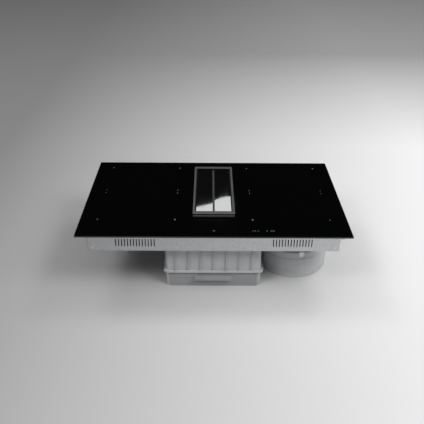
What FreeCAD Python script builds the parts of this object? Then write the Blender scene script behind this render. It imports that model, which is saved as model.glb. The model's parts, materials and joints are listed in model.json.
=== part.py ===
import FreeCAD, Part
import math
import os

# Induction cooktop with a central downdraft vent, in millimetres.
# X runs to the right, Y to the rear and Z up. The origin is the centre of the gasket's
# underside, which lies on the worktop: everything below z = 0 hangs in the cut-out.

# ---- Glass top and gasket ----
glass_width = 840.0
glass_depth = 520.0
glass_thickness = 4.0
glass_corner_radius = 4.0
glass_facet = 1.2
gasket_thickness = 2.0
gasket_width = 10.0
gasket_inset = 3.0

# ---- Vent ----
vent_width = 134.0
vent_length = 343.0
vent_rear_gap = 57.0
vent_height = 10.0
skirt_height = 5.0
skirt_inset = 1.0
groove_inset = 3.5
skirt_wall = 3.0
trim_thickness = 2.5
trim_edge_radius = 0.8
trim_corner_radius = 3.0
centre_rib = 1.5
centre_rib_height = 5.0
centre_rib_recess = 1.5
side_bar = 7.0
front_bar = 17.0
rear_bar = 15.0
throat_wall = 2.0
throat_depth = 32.0
glass_cut_gap = 1.0

# ---- Flaps and their drive ----
flap_side_gap = 2.0
flap_centre_gap = 2.5
flap_end_gap = 2.0
flap_recess = 1.0
flap_sheet = 1.5
flap_edge_radius = 2.0
flap_lip = 3.0
flap_web = 2.0
flap_boss_radius = 6.0
pivot_drop = 9.0
shaft_radius = 3.0
shaft_fit = 0.05
shaft_end_gap = 0.3
bush_radius = 5.0
bush_flange_radius = 6.5
bush_flange = 1.0
gear_module = 1.0
gear_width = 4.0
gear_side_gap = 1.0
gear_pressure_angle = 25.0
gear_addendum = 1.0
gear_dedendum = 1.25
gear_backlash = 0.12
pinion_tooth_count = 12
idler_tooth_count = 30
idler_spacing = 30.0
drive_gear_angle = 200.0
idler_pin_radius = 2.0
idler_collar_radius = 3.5
motor_shaft_radius = 2.0
motor_shaft_reach = 8.0
motor_shaft_gap = 1.0
motor_radius = 11.0
motor_length = 30.0
gearbox_radius = 12.0
gearbox_length = 12.0
gear_cover_thickness = 1.5

# ---- Filter and funnel ----
wall_fit = 0.2
funnel_wall = 2.0
funnel_ledge = 4.0
ledge_thickness = 2.0
filter_seat_height = 6.0
funnel_flange = 8.0
funnel_rim = 3.0
funnel_foot_gap = 1.0
filter_gap = 1.0
filter_height = 14.0
filter_sheet = 1.0
baffle_count = 8
baffle_lip = 3.0
baffle_sheet = 0.8
baffle_share = 0.62
baffle_top_gap = 1.0
filter_strip = 16.0
filter_handle_length = 50.0
filter_handle_height = 9.0
filter_handle_foot = 12.0

# ---- Chassis ----
glass_overlap_x = 30.0
glass_overlap_y = 15.0
cutout_clearance = 3.0
chassis_sheet = 1.5
chassis_depth = 56.0
chassis_corner_radius = 6.0
slot_width = 3.0
slot_height = 26.0
slot_pitch = 9.0
slot_count = 14
slot_groups_x = (-240.0, 240.0)
guard_radius = 22.0
guard_bar = 3.0

# ---- Suction box and spill tank ----
lower_unit_depth = 206.0
suction_box_length = 430.0
box_wall = 2.5
box_split_depth = 150.0
box_rim = 8.0
box_rim_thickness = 3.0
box_corner_radius = 8.0
tank_wall = 2.0
tank_height = 38.0
tank_side_gap = 19.0
tank_length = 395.0
tank_floor_gap = 0.4
tank_front_gap = 0.4
tank_front_thickness = 3.0
tank_front_overlap = 7.0
tank_grip_width = 120.0
tank_grip_depth = 10.0
tank_grip_height = 12.0
tank_grip_wall = 2.0
tank_grip_drop = 2.0
tank_corner_radius = 8.0
rail_width = 3.0
rail_height = 8.0
fan_window_length = 150.0
fan_window_top_gap = 6.0
fan_window_sill = 2.0

# ---- Extraction fan ----
fan_gap = 9.0
fan_edge_gap = 3.0
fan_wall = 2.5
fan_casing_height = 96.0
volute_radius = 89.0
volute_step = 14.0
volute_centre_y = -65.0
tongue_radius = 6.0
impeller_radius = 75.0
impeller_inner_radius = 62.0
impeller_height = 58.0
impeller_floor_gap = 8.0
impeller_plate = 2.0
blade_count = 36
blade_thickness = 1.2
blade_bow = 0.25
blade_tip_gap = 1.0
hub_radius = 40.0
hub_wall = 3.0
hub_height = 35.0
fan_motor_gap = 2.0
spindle_radius = 4.0
spindle_reach = 3.0
motor_foot_radius = 46.0
motor_foot_thickness = 3.0
inlet_radius = 55.0
inlet_wall = 2.0
inlet_flare = 8.0
inlet_rim = 5.0
inlet_end_gap = 1.5
intake_wall = 2.0
intake_margin = 12.0
intake_top_gap = 2.0
spigot_width = 222.0
spigot_height = 89.0
spigot_wall = 2.0
spigot_length = 36.0
spigot_flange = 3.0
hanger_radius = 6.0
hanger_inset = 12.0
hanger_rear_y = 120.0

# ---- Induction coils and electronics ----
zone_edge_gap = 55.0
zone_inner_x = 122.0
zone_rear_gap = 48.5
zone_front_gap = 103.5
zone_row_gap = 26.0
coil_margin = 7.0
coil_height = 6.0
coil_hole_width = 90.0
coil_hole_depth = 34.0
former_rim = 1.5
former_rim_gap = 0.5
former_rim_height = 3.0
former_thickness = 1.5
ferrite_length = 50.0
ferrite_width = 14.0
ferrite_height = 4.0
ferrite_column_count = 4
insulation_thickness = 1.0
sensor_radius = 8.0
sensor_height = 5.0
coil_plate_thickness = 1.5
coil_plate_margin = 6.0
coil_plate_inner_gap = 12.0
board_thickness = 1.6
board_width = 190.0
board_length = 280.0
board_x = 195.0
board_y = -15.0
board_standoff = 5.0
standoff_radius = 3.5
standoff_inset = 8.0
part_row_inset = 30.0
capacitor_count = 6
capacitor_pitch = 26.0
choke_count = 3
choke_pitch = 60.0
heat_sink_width = 50.0
heat_sink_length = 120.0
heat_sink_height = 24.0
heat_sink_fin_count = 9
heat_sink_fin = 1.5
heat_sink_base = 4.0
capacitor_radius = 9.0
capacitor_height = 22.0
choke_radius = 16.0
choke_hole_radius = 8.0
choke_height = 14.0
cooler_size = 80.0
cooler_thickness = 25.0
cooler_duct_radius = 37.5
cooler_hub_radius = 18.0
cooler_blade_gap = 1.5
cooler_blade_count = 7
cooler_blade_thickness = 1.5
cooler_blade_width = 16.0
cooler_blade_pitch = 35.0
cooler_strut = 3.0
cooler_spindle_radius = 2.0
cooler_frame_web = 2.0
cooler_wall_gap = 10.5
touch_width = 230.0
touch_depth = 24.0
touch_centre_x = 88.0
touch_front_gap = 24.0
touch_carrier_height = 8.0

# ---- Mains connection ----
terminal_width = 100.0
terminal_length = 90.0
terminal_height = 40.0
terminal_wall = 2.5
terminal_box_gap = 17.0
terminal_rear_gap = 12.0
terminal_count = 5
terminal_pitch = 12.0
terminal_block_depth = 22.0
terminal_block_height = 18.0
terminal_hole_radius = 1.9
gland_radius = 12.5
gland_bore_radius = 7.5
gland_length = 14.0
gland_nut_radius = 15.0
gland_nut_length = 5.0
gland_thread_reach = 6.0
gland_z = -76.0

# ---- Fixing ----
clamp_spacing_y = 360.0
clamp_width = 30.0
clamp_height = 32.0
clamp_ear = 22.0
clamp_sheet = 2.0
clamp_ear_depth = 40.0
clamp_hole_radius = 2.75
clamp_hole_reach = 12.0
clamp_screw_spacing = 16.0
clamp_screw_rise = 16.0
screw_radius = 2.0
screw_head_radius = 3.8
screw_head_height = 2.2
screw_fit = 0.15
screw_point = 2.0
box_screw_inset = 20.0
rim_screw_inset = 30.0
rim_screw_y = 107.0

# ---- How far a cutting tool passes the faces that it opens ----
cut_over = 1.0
cut_reach = 10.0

# ---- Levels and places that follow from the sizes above ----
glass_bottom = gasket_thickness
glass_surface = glass_bottom + glass_thickness
vent_top = glass_surface + vent_height
trim_bottom = vent_top - trim_thickness
skirt_top = glass_surface + skirt_height
vent_rear = glass_depth / 2 - vent_rear_gap
vent_front = vent_rear - vent_length
vent_centre_y = (vent_front + vent_rear) / 2
throat_half = vent_width / 2 - side_bar
bay_front = vent_front + front_bar
bay_rear = vent_rear - rear_bar
throat_bottom = glass_bottom - throat_depth
flap_half = (throat_half - flap_side_gap - flap_centre_gap / 2) / 2
flap_centre = flap_centre_gap / 2 + flap_half
flap_top = vent_top - flap_recess
pivot_z = flap_top - pivot_drop
gear_front = bay_rear + throat_wall + gear_side_gap
gear_rear = gear_front + gear_width
cover_front = gear_rear + gear_side_gap
cover_rear = cover_front + gear_cover_thickness
cutout_width = glass_width - 2 * glass_overlap_x
cutout_depth = glass_depth - 2 * glass_overlap_y
chassis_half_x = cutout_width / 2 - cutout_clearance
chassis_half_y = cutout_depth / 2 - cutout_clearance
chassis_bottom = -chassis_depth
chassis_floor = chassis_bottom + chassis_sheet
box_bottom = -lower_unit_depth
fan_width = 2 * (fan_wall + volute_radius) + 3 * volute_step
box_half_x = chassis_half_x - fan_edge_gap - fan_width - fan_gap
box_half_y = suction_box_length / 2
tank_width = 2 * (box_half_x - tank_side_gap)
outlet_end_y = box_half_y
fan_left = box_half_x + fan_gap
fan_bottom = box_bottom
fan_top = fan_bottom + fan_casing_height
fan_inner_left = fan_left + fan_wall
volute_centre_x = fan_inner_left + volute_radius
fan_x = volute_centre_x + volute_step / 2
fan_y = volute_centre_y + volute_step / 2
fan_right = fan_left + fan_width
fan_cover_bottom = fan_top - fan_wall
fan_floor = fan_bottom + fan_wall
impeller_bottom = fan_floor + impeller_floor_gap
impeller_top = impeller_bottom + impeller_height
hub_top = impeller_bottom + hub_height
idler_x = idler_spacing / 2
mesh_distance = gear_module * (pinion_tooth_count + idler_tooth_count) / 2
idler_z = pivot_z - math.sqrt(mesh_distance ** 2 - (flap_centre - idler_x) ** 2)
drive_x = -idler_x + mesh_distance * math.cos(math.radians(drive_gear_angle))
drive_z = idler_z + mesh_distance * math.sin(math.radians(drive_gear_angle))
filter_bottom = chassis_bottom + filter_seat_height
filter_top = filter_bottom + filter_height
insulation_bottom = glass_bottom - insulation_thickness
coil_bottom = insulation_bottom - coil_height
former_bottom = coil_bottom - former_thickness
ferrite_bottom = former_bottom - ferrite_height
coil_plate_bottom = ferrite_bottom - coil_plate_thickness
board_bottom = chassis_floor + board_standoff
board_top = board_bottom + board_thickness
tank_bottom = box_bottom + box_wall + tank_floor_gap
tank_top = tank_bottom + tank_height
tank_front = -box_half_y - tank_front_gap
terminal_x = -(box_half_x + box_rim + terminal_box_gap + terminal_width / 2)
terminal_bottom = chassis_bottom - terminal_height
terminal_rear = chassis_half_y - terminal_rear_gap
terminal_y = terminal_rear - terminal_length / 2
zone_width = glass_width / 2 - zone_edge_gap - zone_inner_x
zone_centre_x = zone_inner_x + zone_width / 2
zone_depth = (glass_depth - zone_rear_gap - zone_front_gap - zone_row_gap) / 2
rear_zone_y = glass_depth / 2 - zone_rear_gap - zone_depth / 2
front_zone_y = rear_zone_y - zone_depth - zone_row_gap
touch_centre_y = -glass_depth / 2 + touch_front_gap + touch_depth / 2
cooler_x = chassis_half_x - chassis_sheet - cooler_wall_gap - cooler_size / 2
cooler_y = chassis_half_y - chassis_sheet - cooler_wall_gap - cooler_size / 2
sides = {"left": -1, "right": 1}
zones = {"front": front_zone_y, "rear": rear_zone_y}
parts = {}


# ---- Small building blocks ----
def vector(x, y, z):
    return FreeCAD.Vector(x, y, z)


def block(low, high):
    """A box from its lowest to its highest corner."""
    size = [high[i] - low[i] for i in range(3)]
    return Part.makeBox(size[0], size[1], size[2], vector(*low))


def rounded_block(low, high, radius):
    """A box whose upright edges are rounded."""
    solid = block(low, high)
    upright = []
    for edge in solid.Edges:
        start, end = edge.Vertexes
        if abs(start.X - end.X) < 1e-6 and abs(start.Y - end.Y) < 1e-6:
            upright.append(edge)
    return solid.makeFillet(radius, upright)


def ring_block(low, high, hole_low, hole_high):
    """A plate with one rectangular hole, given by its corners in plan."""
    hole = block((hole_low[0], hole_low[1], low[2] - cut_over),
                 (hole_high[0], hole_high[1], high[2] + cut_over))
    return block(low, high).cut(hole)


def post(x, y, z0, z1, radius):
    """An upright round bar."""
    return Part.makeCylinder(radius, z1 - z0, vector(x, y, z0), vector(0, 0, 1))


def rod(x, z, y0, y1, radius):
    """A round bar that runs front to back."""
    return Part.makeCylinder(radius, y1 - y0, vector(x, y0, z), vector(0, 1, 0))


def cross_rod(y, z, x0, x1, radius):
    """A round bar that runs from side to side."""
    return Part.makeCylinder(radius, x1 - x0, vector(x0, y, z), vector(1, 0, 0))


def fuse(shapes):
    """One solid out of pieces that touch or overlap."""
    whole = shapes[0]
    for shape in shapes[1:]:
        whole = whole.fuse(shape)
    return whole.removeSplitter()


def cut_all(solid, tools):
    for tool in tools:
        solid = solid.cut(tool)
    return solid


def mirrored(shape):
    """The same piece on the other side of the cooktop."""
    return shape.mirror(vector(0, 0, 0), vector(1, 0, 0))


def arc_edge(centre, radius, start_degrees, end_degrees):
    """An arc in plan, by its centre, radius and the angles of its two ends."""
    points = []
    for degrees in (start_degrees, (start_degrees + end_degrees) / 2, end_degrees):
        angle = math.radians(degrees)
        across = centre[0] + radius * math.cos(angle)
        points.append(vector(across, centre[1] + radius * math.sin(angle), 0))
    return Part.Arc(points[0], points[1], points[2]).toShape()


def line_edge(start, end):
    return Part.LineSegment(vector(start[0], start[1], 0), vector(end[0], end[1], 0)).toShape()


def racetrack(centre, width, depth, z0, z1):
    """An upright solid with straight sides and half-round ends."""
    radius = depth / 2
    middle = block((centre[0] - width / 2 + radius, centre[1] - radius, z0),
                   (centre[0] + width / 2 - radius, centre[1] + radius, z1))
    ends = [post(centre[0] + side * (width / 2 - radius), centre[1], z0, z1, radius) for side in (-1, 1)]
    return fuse([middle] + ends)


# ---- Glass, gasket and vent ----
def make_glass():
    half_x = glass_width / 2
    half_y = glass_depth / 2
    plate = rounded_block((-half_x, -half_y, glass_bottom), (half_x, half_y, glass_surface),
                          glass_corner_radius)
    rim = [edge for edge in plate.Edges if abs(edge.BoundBox.ZMin - glass_surface) < 1e-6]
    plate = plate.makeChamfer(glass_facet, rim)
    opening_x = throat_half + throat_wall + glass_cut_gap
    front = bay_front - throat_wall - glass_cut_gap
    return plate.cut(block((-opening_x, front, 0), (opening_x, cover_rear + glass_cut_gap, vent_top)))


def make_gasket():
    outer_x = glass_width / 2 - gasket_inset
    outer_y = glass_depth / 2 - gasket_inset
    inner_x = outer_x - gasket_width
    inner_y = outer_y - gasket_width
    return ring_block((-outer_x, -outer_y, 0), (outer_x, outer_y, glass_bottom),
                      (-inner_x, -inner_y), (inner_x, inner_y))


def make_vent_skirt():
    """The lower ring of the vent, standing on the glass."""
    half_x = vent_width / 2 - skirt_inset
    wall = skirt_wall
    front = vent_front + skirt_inset
    rear = vent_rear - skirt_inset
    return ring_block((-half_x, front, glass_surface), (half_x, rear, skirt_top),
                      (-half_x + wall, front + wall), (half_x - wall, rear - wall))


def make_vent_frame():
    """The throat through the glass, with the neck that carries the trim and the gear bay behind."""
    outer_x = throat_half + throat_wall
    front = bay_front - throat_wall
    rear = bay_rear + throat_wall
    throat = ring_block((-outer_x, front, throat_bottom), (outer_x, rear, trim_bottom),
                        (-throat_half, bay_front), (throat_half, bay_rear))
    gear_bay = ring_block((-outer_x, rear, throat_bottom), (outer_x, cover_front, trim_bottom),
                          (-throat_half, rear - cut_over), (throat_half, cover_front + cut_over))
    bay_floor = block((-outer_x, rear, throat_bottom), (outer_x, cover_front, throat_bottom + throat_wall))
    neck_x = vent_width / 2 - groove_inset
    neck = ring_block((-neck_x, vent_front + groove_inset, skirt_top),
                      (neck_x, vent_rear - groove_inset, trim_bottom),
                      (-outer_x, front), (outer_x, cover_front))
    rib_top = trim_bottom - centre_rib_recess
    rib = block((-centre_rib / 2, bay_front, rib_top - centre_rib_height),
                (centre_rib / 2, bay_rear, rib_top))
    frame = fuse([throat, gear_bay, bay_floor, neck, rib])
    holes = []
    for side in sides.values():
        holes.append(rod(side * flap_centre, pivot_z, front - cut_over, rear + cut_over, bush_radius))
    return cut_all(frame, holes)


def make_vent_trim():
    """The top ring of the vent."""
    half_x = vent_width / 2
    plate = rounded_block((-half_x, vent_front, trim_bottom), (half_x, vent_rear, vent_top),
                          trim_corner_radius)
    rim = [edge for edge in plate.Edges if abs(edge.BoundBox.ZMin - vent_top) < 1e-6]
    plate = plate.makeFillet(trim_edge_radius, rim)
    return plate.cut(block((-throat_half, bay_front, trim_bottom - cut_over),
                           (throat_half, bay_rear, vent_top + cut_over)))


# ---- Flaps and gear train ----
def flap_outline(inset):
    """Upper outline of a flap's section: two upright lips, two rolled edges and the flat top."""
    half = flap_half - inset
    radius = flap_edge_radius - inset
    top = flap_top - inset
    turn = flap_top - flap_edge_radius
    bottom = turn - flap_lip
    diagonal = radius * math.sqrt(0.5)

    def at(x, z):
        return vector(x, 0, z)

    flat = half - radius
    left_arc = Part.Arc(at(-half, turn), at(-flat - diagonal, turn + diagonal), at(-flat, top))
    right_arc = Part.Arc(at(flat, top), at(flat + diagonal, turn + diagonal), at(half, turn))
    edges = [Part.LineSegment(at(-half, bottom), at(-half, turn)).toShape()]
    edges.append(left_arc.toShape())
    edges.append(Part.LineSegment(at(-flat, top), at(flat, top)).toShape())
    edges.append(right_arc.toShape())
    edges.append(Part.LineSegment(at(half, turn), at(half, bottom)).toShape())
    return edges, half, bottom


def make_flap(side):
    """A flap: a sheet with rolled long edges and a web with a boss at each end."""
    front = bay_front + flap_end_gap
    rear = bay_rear - flap_end_gap
    outer, half, bottom = flap_outline(0)
    inner, inner_half, bottom = flap_outline(flap_sheet)
    outer.append(Part.LineSegment(vector(half, 0, bottom), vector(-half, 0, bottom)).toShape())
    inner.append(Part.LineSegment(vector(inner_half, 0, bottom), vector(-inner_half, 0, bottom)).toShape())
    full = Part.Face(Part.Wire(outer)).extrude(vector(0, rear - front, 0))
    hollow = Part.Face(Part.Wire(inner)).extrude(vector(0, rear - front - 2 * flap_web, 0))
    hollow.translate(vector(0, flap_web, 0))
    pieces = [full.cut(hollow)]
    for start in (0, rear - front - flap_web):
        corners = [vector(-half, start, bottom), vector(half, start, bottom)]
        corners += [vector(flap_boss_radius, start, pivot_z), vector(-flap_boss_radius, start, pivot_z)]
        gusset = Part.Face(Part.makePolygon(corners + corners[:1])).extrude(vector(0, flap_web, 0))
        pieces.append(gusset)
        pieces.append(rod(0, pivot_z, start, start + flap_web, flap_boss_radius))
    flap = fuse(pieces).cut(rod(0, pivot_z, -cut_over, rear - front + cut_over, shaft_radius + shaft_fit))
    flap.translate(vector(side * flap_centre, front, 0))
    return flap


def make_flap_shaft(side):
    front = bay_front - throat_wall
    return rod(side * flap_centre, pivot_z, front + shaft_end_gap, gear_rear + shaft_end_gap, shaft_radius)


def make_flap_bushes():
    """Four flanged bushes, two in each end wall of the throat."""
    bushes = []
    for side in sides.values():
        x = side * flap_centre
        ends = ((bay_front - throat_wall, bay_front), (bay_rear, bay_rear - bush_flange))
        for wall_low, flange_low in ends:
            body = rod(x, pivot_z, wall_low, wall_low + throat_wall, bush_radius)
            flange = rod(x, pivot_z, flange_low, flange_low + bush_flange, bush_flange_radius)
            bore = rod(x, pivot_z, wall_low - cut_reach, wall_low + cut_reach, shaft_radius + shaft_fit)
            bushes.append(fuse([body, flange]).cut(bore))
    return Part.makeCompound(bushes)


def tooth_half_angle(radius, teeth):
    """Half the angle that an involute tooth covers at a radius."""
    pitch_radius = gear_module * teeth / 2
    base_radius = pitch_radius * math.cos(math.radians(gear_pressure_angle))
    pitch_angle = math.radians(gear_pressure_angle)
    angle = math.acos(min(1.0, base_radius / radius))
    pitch_half = math.pi / (2 * teeth) - gear_backlash / (2 * pitch_radius)
    return pitch_half + (math.tan(pitch_angle) - pitch_angle) - (math.tan(angle) - angle)


def make_gear(teeth, x, z, turn, bore):
    """A spur gear whose axis runs front to back; turn is the angle of one tooth's middle."""
    pitch_radius = gear_module * teeth / 2
    root = pitch_radius - gear_dedendum * gear_module
    tip = pitch_radius + gear_addendum * gear_module
    base = pitch_radius * math.cos(math.radians(gear_pressure_angle))
    start = max(base, root + 0.02)
    flank_points = 4
    radii = [start + (tip - start) * i / (flank_points - 1) for i in range(flank_points)]
    if base > root + 0.02:
        radii.insert(0, root)
    corners = []
    for tooth in range(teeth):
        middle = turn + tooth * 2 * math.pi / teeth
        flank = [(radius, tooth_half_angle(max(radius, base), teeth)) for radius in radii]
        for radius, half in flank:
            corners.append((radius, middle - half))
        for radius, half in reversed(flank):
            corners.append((radius, middle + half))
    points = [vector(x + radius * math.cos(angle), gear_front, z + radius * math.sin(angle))
              for radius, angle in corners]
    outline = Part.makePolygon(points + points[:1])
    body = Part.Face(outline).extrude(vector(0, gear_width, 0))
    if bore > 0:
        body = body.cut(rod(x, z, gear_front - cut_over, gear_rear + cut_over, bore))
    return body


def meshing_turn(turn, teeth, centre, other_teeth, other_centre):
    """Where a gear's tooth has to stand so that it meshes with another gear."""
    direction = math.atan2(other_centre[1] - centre[1], other_centre[0] - centre[0])
    phase = (direction - turn) * teeth / (2 * math.pi)
    return direction + math.pi - (0.5 - phase) * 2 * math.pi / other_teeth


def make_gear_train():
    """Two flap pinions joined by two idlers, and the pinion on the motor."""
    right = (flap_centre, pivot_z)
    idler_right = (idler_x, idler_z)
    idler_left = (-idler_x, idler_z)
    left = (-flap_centre, pivot_z)
    drive = (drive_x, drive_z)
    turn_right = 0.0
    turn_idler_right = meshing_turn(turn_right, pinion_tooth_count, right, idler_tooth_count, idler_right)
    turn_idler_left = meshing_turn(turn_idler_right, idler_tooth_count, idler_right, idler_tooth_count,
                                   idler_left)
    turn_left = meshing_turn(turn_idler_left, idler_tooth_count, idler_left, pinion_tooth_count, left)
    turn_drive = meshing_turn(turn_idler_left, idler_tooth_count, idler_left, pinion_tooth_count, drive)
    shaft_bore = shaft_radius + shaft_fit
    pin_bore = idler_pin_radius + shaft_fit
    parts["flap_pinion_right"] = make_gear(pinion_tooth_count, *right, turn_right, shaft_bore)
    parts["flap_pinion_left"] = make_gear(pinion_tooth_count, *left, turn_left, shaft_bore)
    parts["idler_gear_right"] = make_gear(idler_tooth_count, *idler_right, turn_idler_right, pin_bore)
    parts["idler_gear_left"] = make_gear(idler_tooth_count, *idler_left, turn_idler_left, pin_bore)
    pinion = make_gear(pinion_tooth_count, *drive, turn_drive, 0)
    shaft = rod(drive_x, drive_z, gear_rear, cover_rear + motor_shaft_reach, motor_shaft_radius)
    parts["drive_pinion"] = fuse([pinion, shaft])


def make_idler_pins():
    """Two fixed pins between the throat and the gear cover, each with a collar."""
    pins = []
    wall = bay_rear + throat_wall
    for side in sides.values():
        pin = rod(side * idler_x, idler_z, wall, cover_front, idler_pin_radius)
        collar = rod(side * idler_x, idler_z, wall, gear_front - shaft_fit, idler_collar_radius)
        pins.append(fuse([pin, collar]))
    return Part.makeCompound(pins)


def make_gear_cover():
    outer_x = throat_half + throat_wall
    plate = block((-outer_x, cover_front, throat_bottom), (outer_x, cover_rear, skirt_top))
    hole_radius = motor_shaft_radius + motor_shaft_gap
    return plate.cut(rod(drive_x, drive_z, cover_front - cut_over, cover_rear + cut_over, hole_radius))


def make_flap_motor():
    """A small gear motor on the back of the gear cover."""
    gearbox = rod(drive_x, drive_z, cover_rear, cover_rear + gearbox_length, gearbox_radius)
    can = rod(drive_x, drive_z, cover_rear + gearbox_length, cover_rear + gearbox_length + motor_length,
              motor_radius)
    bore = rod(drive_x, drive_z, cover_rear - cut_over, cover_rear + motor_shaft_reach + cut_over,
               motor_shaft_radius + shaft_fit)
    return fuse([gearbox, can]).cut(bore)


# ---- Funnel and grease filter ----
def make_air_funnel():
    outer_x = throat_half + funnel_wall
    front = bay_front - funnel_wall
    rear = bay_rear + funnel_wall
    duct = ring_block((-outer_x, front, chassis_bottom), (outer_x, rear, throat_bottom),
                      (-throat_half, bay_front), (throat_half, bay_rear))
    rim = ring_block((-outer_x - funnel_rim, front - funnel_rim, throat_bottom - funnel_rim),
                     (outer_x + funnel_rim, rear + funnel_rim, throat_bottom),
                     (-throat_half, bay_front), (throat_half, bay_rear))
    foot = ring_block((-outer_x - funnel_flange, front - funnel_flange, chassis_bottom),
                      (outer_x + funnel_flange, rear + funnel_flange, chassis_bottom + funnel_wall),
                      (-throat_half, bay_front), (throat_half, bay_rear))
    ledge = ring_block((-throat_half, bay_front, filter_bottom - ledge_thickness),
                       (throat_half, bay_rear, filter_bottom),
                       (-throat_half + funnel_ledge, bay_front + funnel_ledge),
                       (throat_half - funnel_ledge, bay_rear - funnel_ledge))
    return fuse([duct, rim, foot, ledge])


def make_filter_frame():
    half_x = throat_half - filter_gap
    front = bay_front + filter_gap
    rear = bay_rear - filter_gap
    wall = ring_block((-half_x, front, filter_bottom), (half_x, rear, filter_top),
                      (-half_x + filter_sheet, front + filter_sheet),
                      (half_x - filter_sheet, rear - filter_sheet))
    strip = block((-half_x, vent_centre_y - filter_strip / 2, filter_top - filter_sheet),
                  (half_x, vent_centre_y + filter_strip / 2, filter_top))
    return fuse([wall, strip])


def make_baffle(x, width, web_low, web_high, lip_low, lip_high):
    """A channel that runs front to back: a web with a lip along each side."""
    front = bay_front + filter_gap + filter_sheet
    rear = bay_rear - filter_gap - filter_sheet
    web = block((x - width / 2, front, web_low), (x + width / 2, rear, web_high))
    left = block((x - width / 2, front, lip_low), (x - width / 2 + baffle_sheet, rear, lip_high))
    right = block((x + width / 2 - baffle_sheet, front, lip_low), (x + width / 2, rear, lip_high))
    return fuse([web, left, right])


def make_filter_baffles():
    """Two layers of channels that face each other, so that the air has to turn twice."""
    inner = 2 * (throat_half - filter_gap - filter_sheet)
    pitch = inner / baffle_count
    width = pitch * baffle_share
    baffles = []
    upper_top = filter_top - filter_sheet - baffle_top_gap
    lower_bottom = filter_bottom + baffle_top_gap
    for i in range(baffle_count):
        x = -inner / 2 + pitch * (i + 0.5)
        baffles.append(make_baffle(x, width, upper_top - baffle_sheet, upper_top,
                                   upper_top - baffle_lip, upper_top))
    for i in range(baffle_count - 1):
        x = -inner / 2 + pitch * (i + 1)
        baffles.append(make_baffle(x, width, lower_bottom, lower_bottom + baffle_sheet,
                                   lower_bottom, lower_bottom + baffle_lip))
    return Part.makeCompound(baffles)


def make_filter_handle():
    """An upright grip tab on the filter's cross strip."""
    half = filter_handle_length / 2
    foot = block((-half, vent_centre_y - filter_handle_foot / 2, filter_top),
                 (half, vent_centre_y + filter_handle_foot / 2, filter_top + filter_sheet))
    tab = block((-half, vent_centre_y - filter_sheet, filter_top),
                (half, vent_centre_y + filter_sheet, filter_top + filter_handle_height))
    return fuse([foot, tab])


# ---- Chassis tray ----
def wall_slots():
    """Upright air slots in the chassis walls."""
    slots = []
    low = (chassis_bottom + glass_bottom - slot_height) / 2
    high = low + slot_height
    for group in slot_groups_x:
        for i in range(slot_count):
            x = group + (i - (slot_count - 1) / 2) * slot_pitch
            for y in (-chassis_half_y, chassis_half_y):
                slots.append(block((x - slot_width / 2, y - cut_reach, low),
                                    (x + slot_width / 2, y + cut_reach, high)))
    for i in range(slot_count):
        y = (i - (slot_count - 1) / 2) * slot_pitch
        for x in (-chassis_half_x, chassis_half_x):
            slots.append(block((x - cut_reach, y - slot_width / 2, low),
                                (x + cut_reach, y + slot_width / 2, high)))
    return Part.makeCompound(slots)


def cooler_grille(x, y):
    """The hole under a cooling fan, less the ring and the bars that guard it."""
    low = chassis_bottom - 1
    high = chassis_floor + 1
    hole = post(x, y, low, high, cooler_duct_radius)
    guard = [post(x, y, low, high, guard_radius).cut(post(x, y, low, high, guard_radius - guard_bar))]
    guard.append(post(x, y, low, high, guard_bar * 2))
    reach = cooler_duct_radius + 1
    guard.append(block((x - reach, y - guard_bar / 2, low), (x + reach, y + guard_bar / 2, high)))
    guard.append(block((x - guard_bar / 2, y - reach, low), (x + guard_bar / 2, y + reach, high)))
    return cut_all(hole, guard)


def make_chassis_tray():
    low = (-chassis_half_x, -chassis_half_y, chassis_bottom)
    high = (chassis_half_x, chassis_half_y, glass_bottom)
    shell = rounded_block(low, high, chassis_corner_radius)
    inner_low = (low[0] + chassis_sheet, low[1] + chassis_sheet, chassis_floor)
    inner_high = (high[0] - chassis_sheet, high[1] - chassis_sheet, glass_bottom + cut_reach)
    shell = shell.cut(rounded_block(inner_low, inner_high, chassis_corner_radius - chassis_sheet))
    foot_x = throat_half + funnel_wall + funnel_flange + funnel_foot_gap
    foot_front = bay_front - funnel_wall - funnel_flange - funnel_foot_gap
    foot_rear = bay_rear + funnel_wall + funnel_flange + funnel_foot_gap
    cuts = [block((-foot_x, foot_front, chassis_bottom - cut_over),
                  (foot_x, foot_rear, chassis_floor + cut_over))]
    cuts.append(wall_slots())
    for side in sides.values():
        cuts.append(cooler_grille(side * cooler_x, cooler_y))
    cuts += screw_holes(box_screw_places(), chassis_bottom - cut_over, chassis_floor + cut_over)
    cuts += clamp_screw_holes()
    shell = cut_all(shell, cuts)
    posts = []
    for x, y in standoff_places():
        posts.append(post(x, y, chassis_floor, board_bottom, standoff_radius))
    return fuse([shell] + posts)


# ---- Suction box and spill tank ----
def make_suction_box_upper():
    """The upper casing: open below, with the filter's opening on top and the fan's window at the right."""
    top = chassis_bottom
    low_z = -box_split_depth
    shell = rounded_block((-box_half_x, -box_half_y, low_z), (box_half_x, box_half_y, top), box_corner_radius)
    rim = rounded_block((-box_half_x - box_rim, -box_half_y - box_rim, low_z),
                        (box_half_x + box_rim, box_half_y + box_rim, low_z + box_rim_thickness),
                        box_corner_radius + box_rim)
    inside = rounded_block((-box_half_x + box_wall, -box_half_y + box_wall, low_z - cut_over),
                           (box_half_x - box_wall, box_half_y - box_wall, top - box_wall),
                           box_corner_radius - box_wall)
    cuts = [inside]
    cuts.append(block((-throat_half, bay_front, top - cut_reach), (throat_half, bay_rear, top + cut_over)))
    window_top = top - box_wall - fan_window_top_gap
    cuts.append(block((box_half_x - cut_reach, fan_y - fan_window_length / 2, fan_top + fan_window_sill),
                      (box_half_x + cut_over, fan_y + fan_window_length / 2, window_top)))
    cuts += screw_holes(box_screw_places(), top - cut_reach, top + cut_over)
    cuts += screw_holes(rim_screw_places(), low_z - cut_reach, low_z + cut_reach)
    return cut_all(fuse([shell, rim]), cuts)


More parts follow.
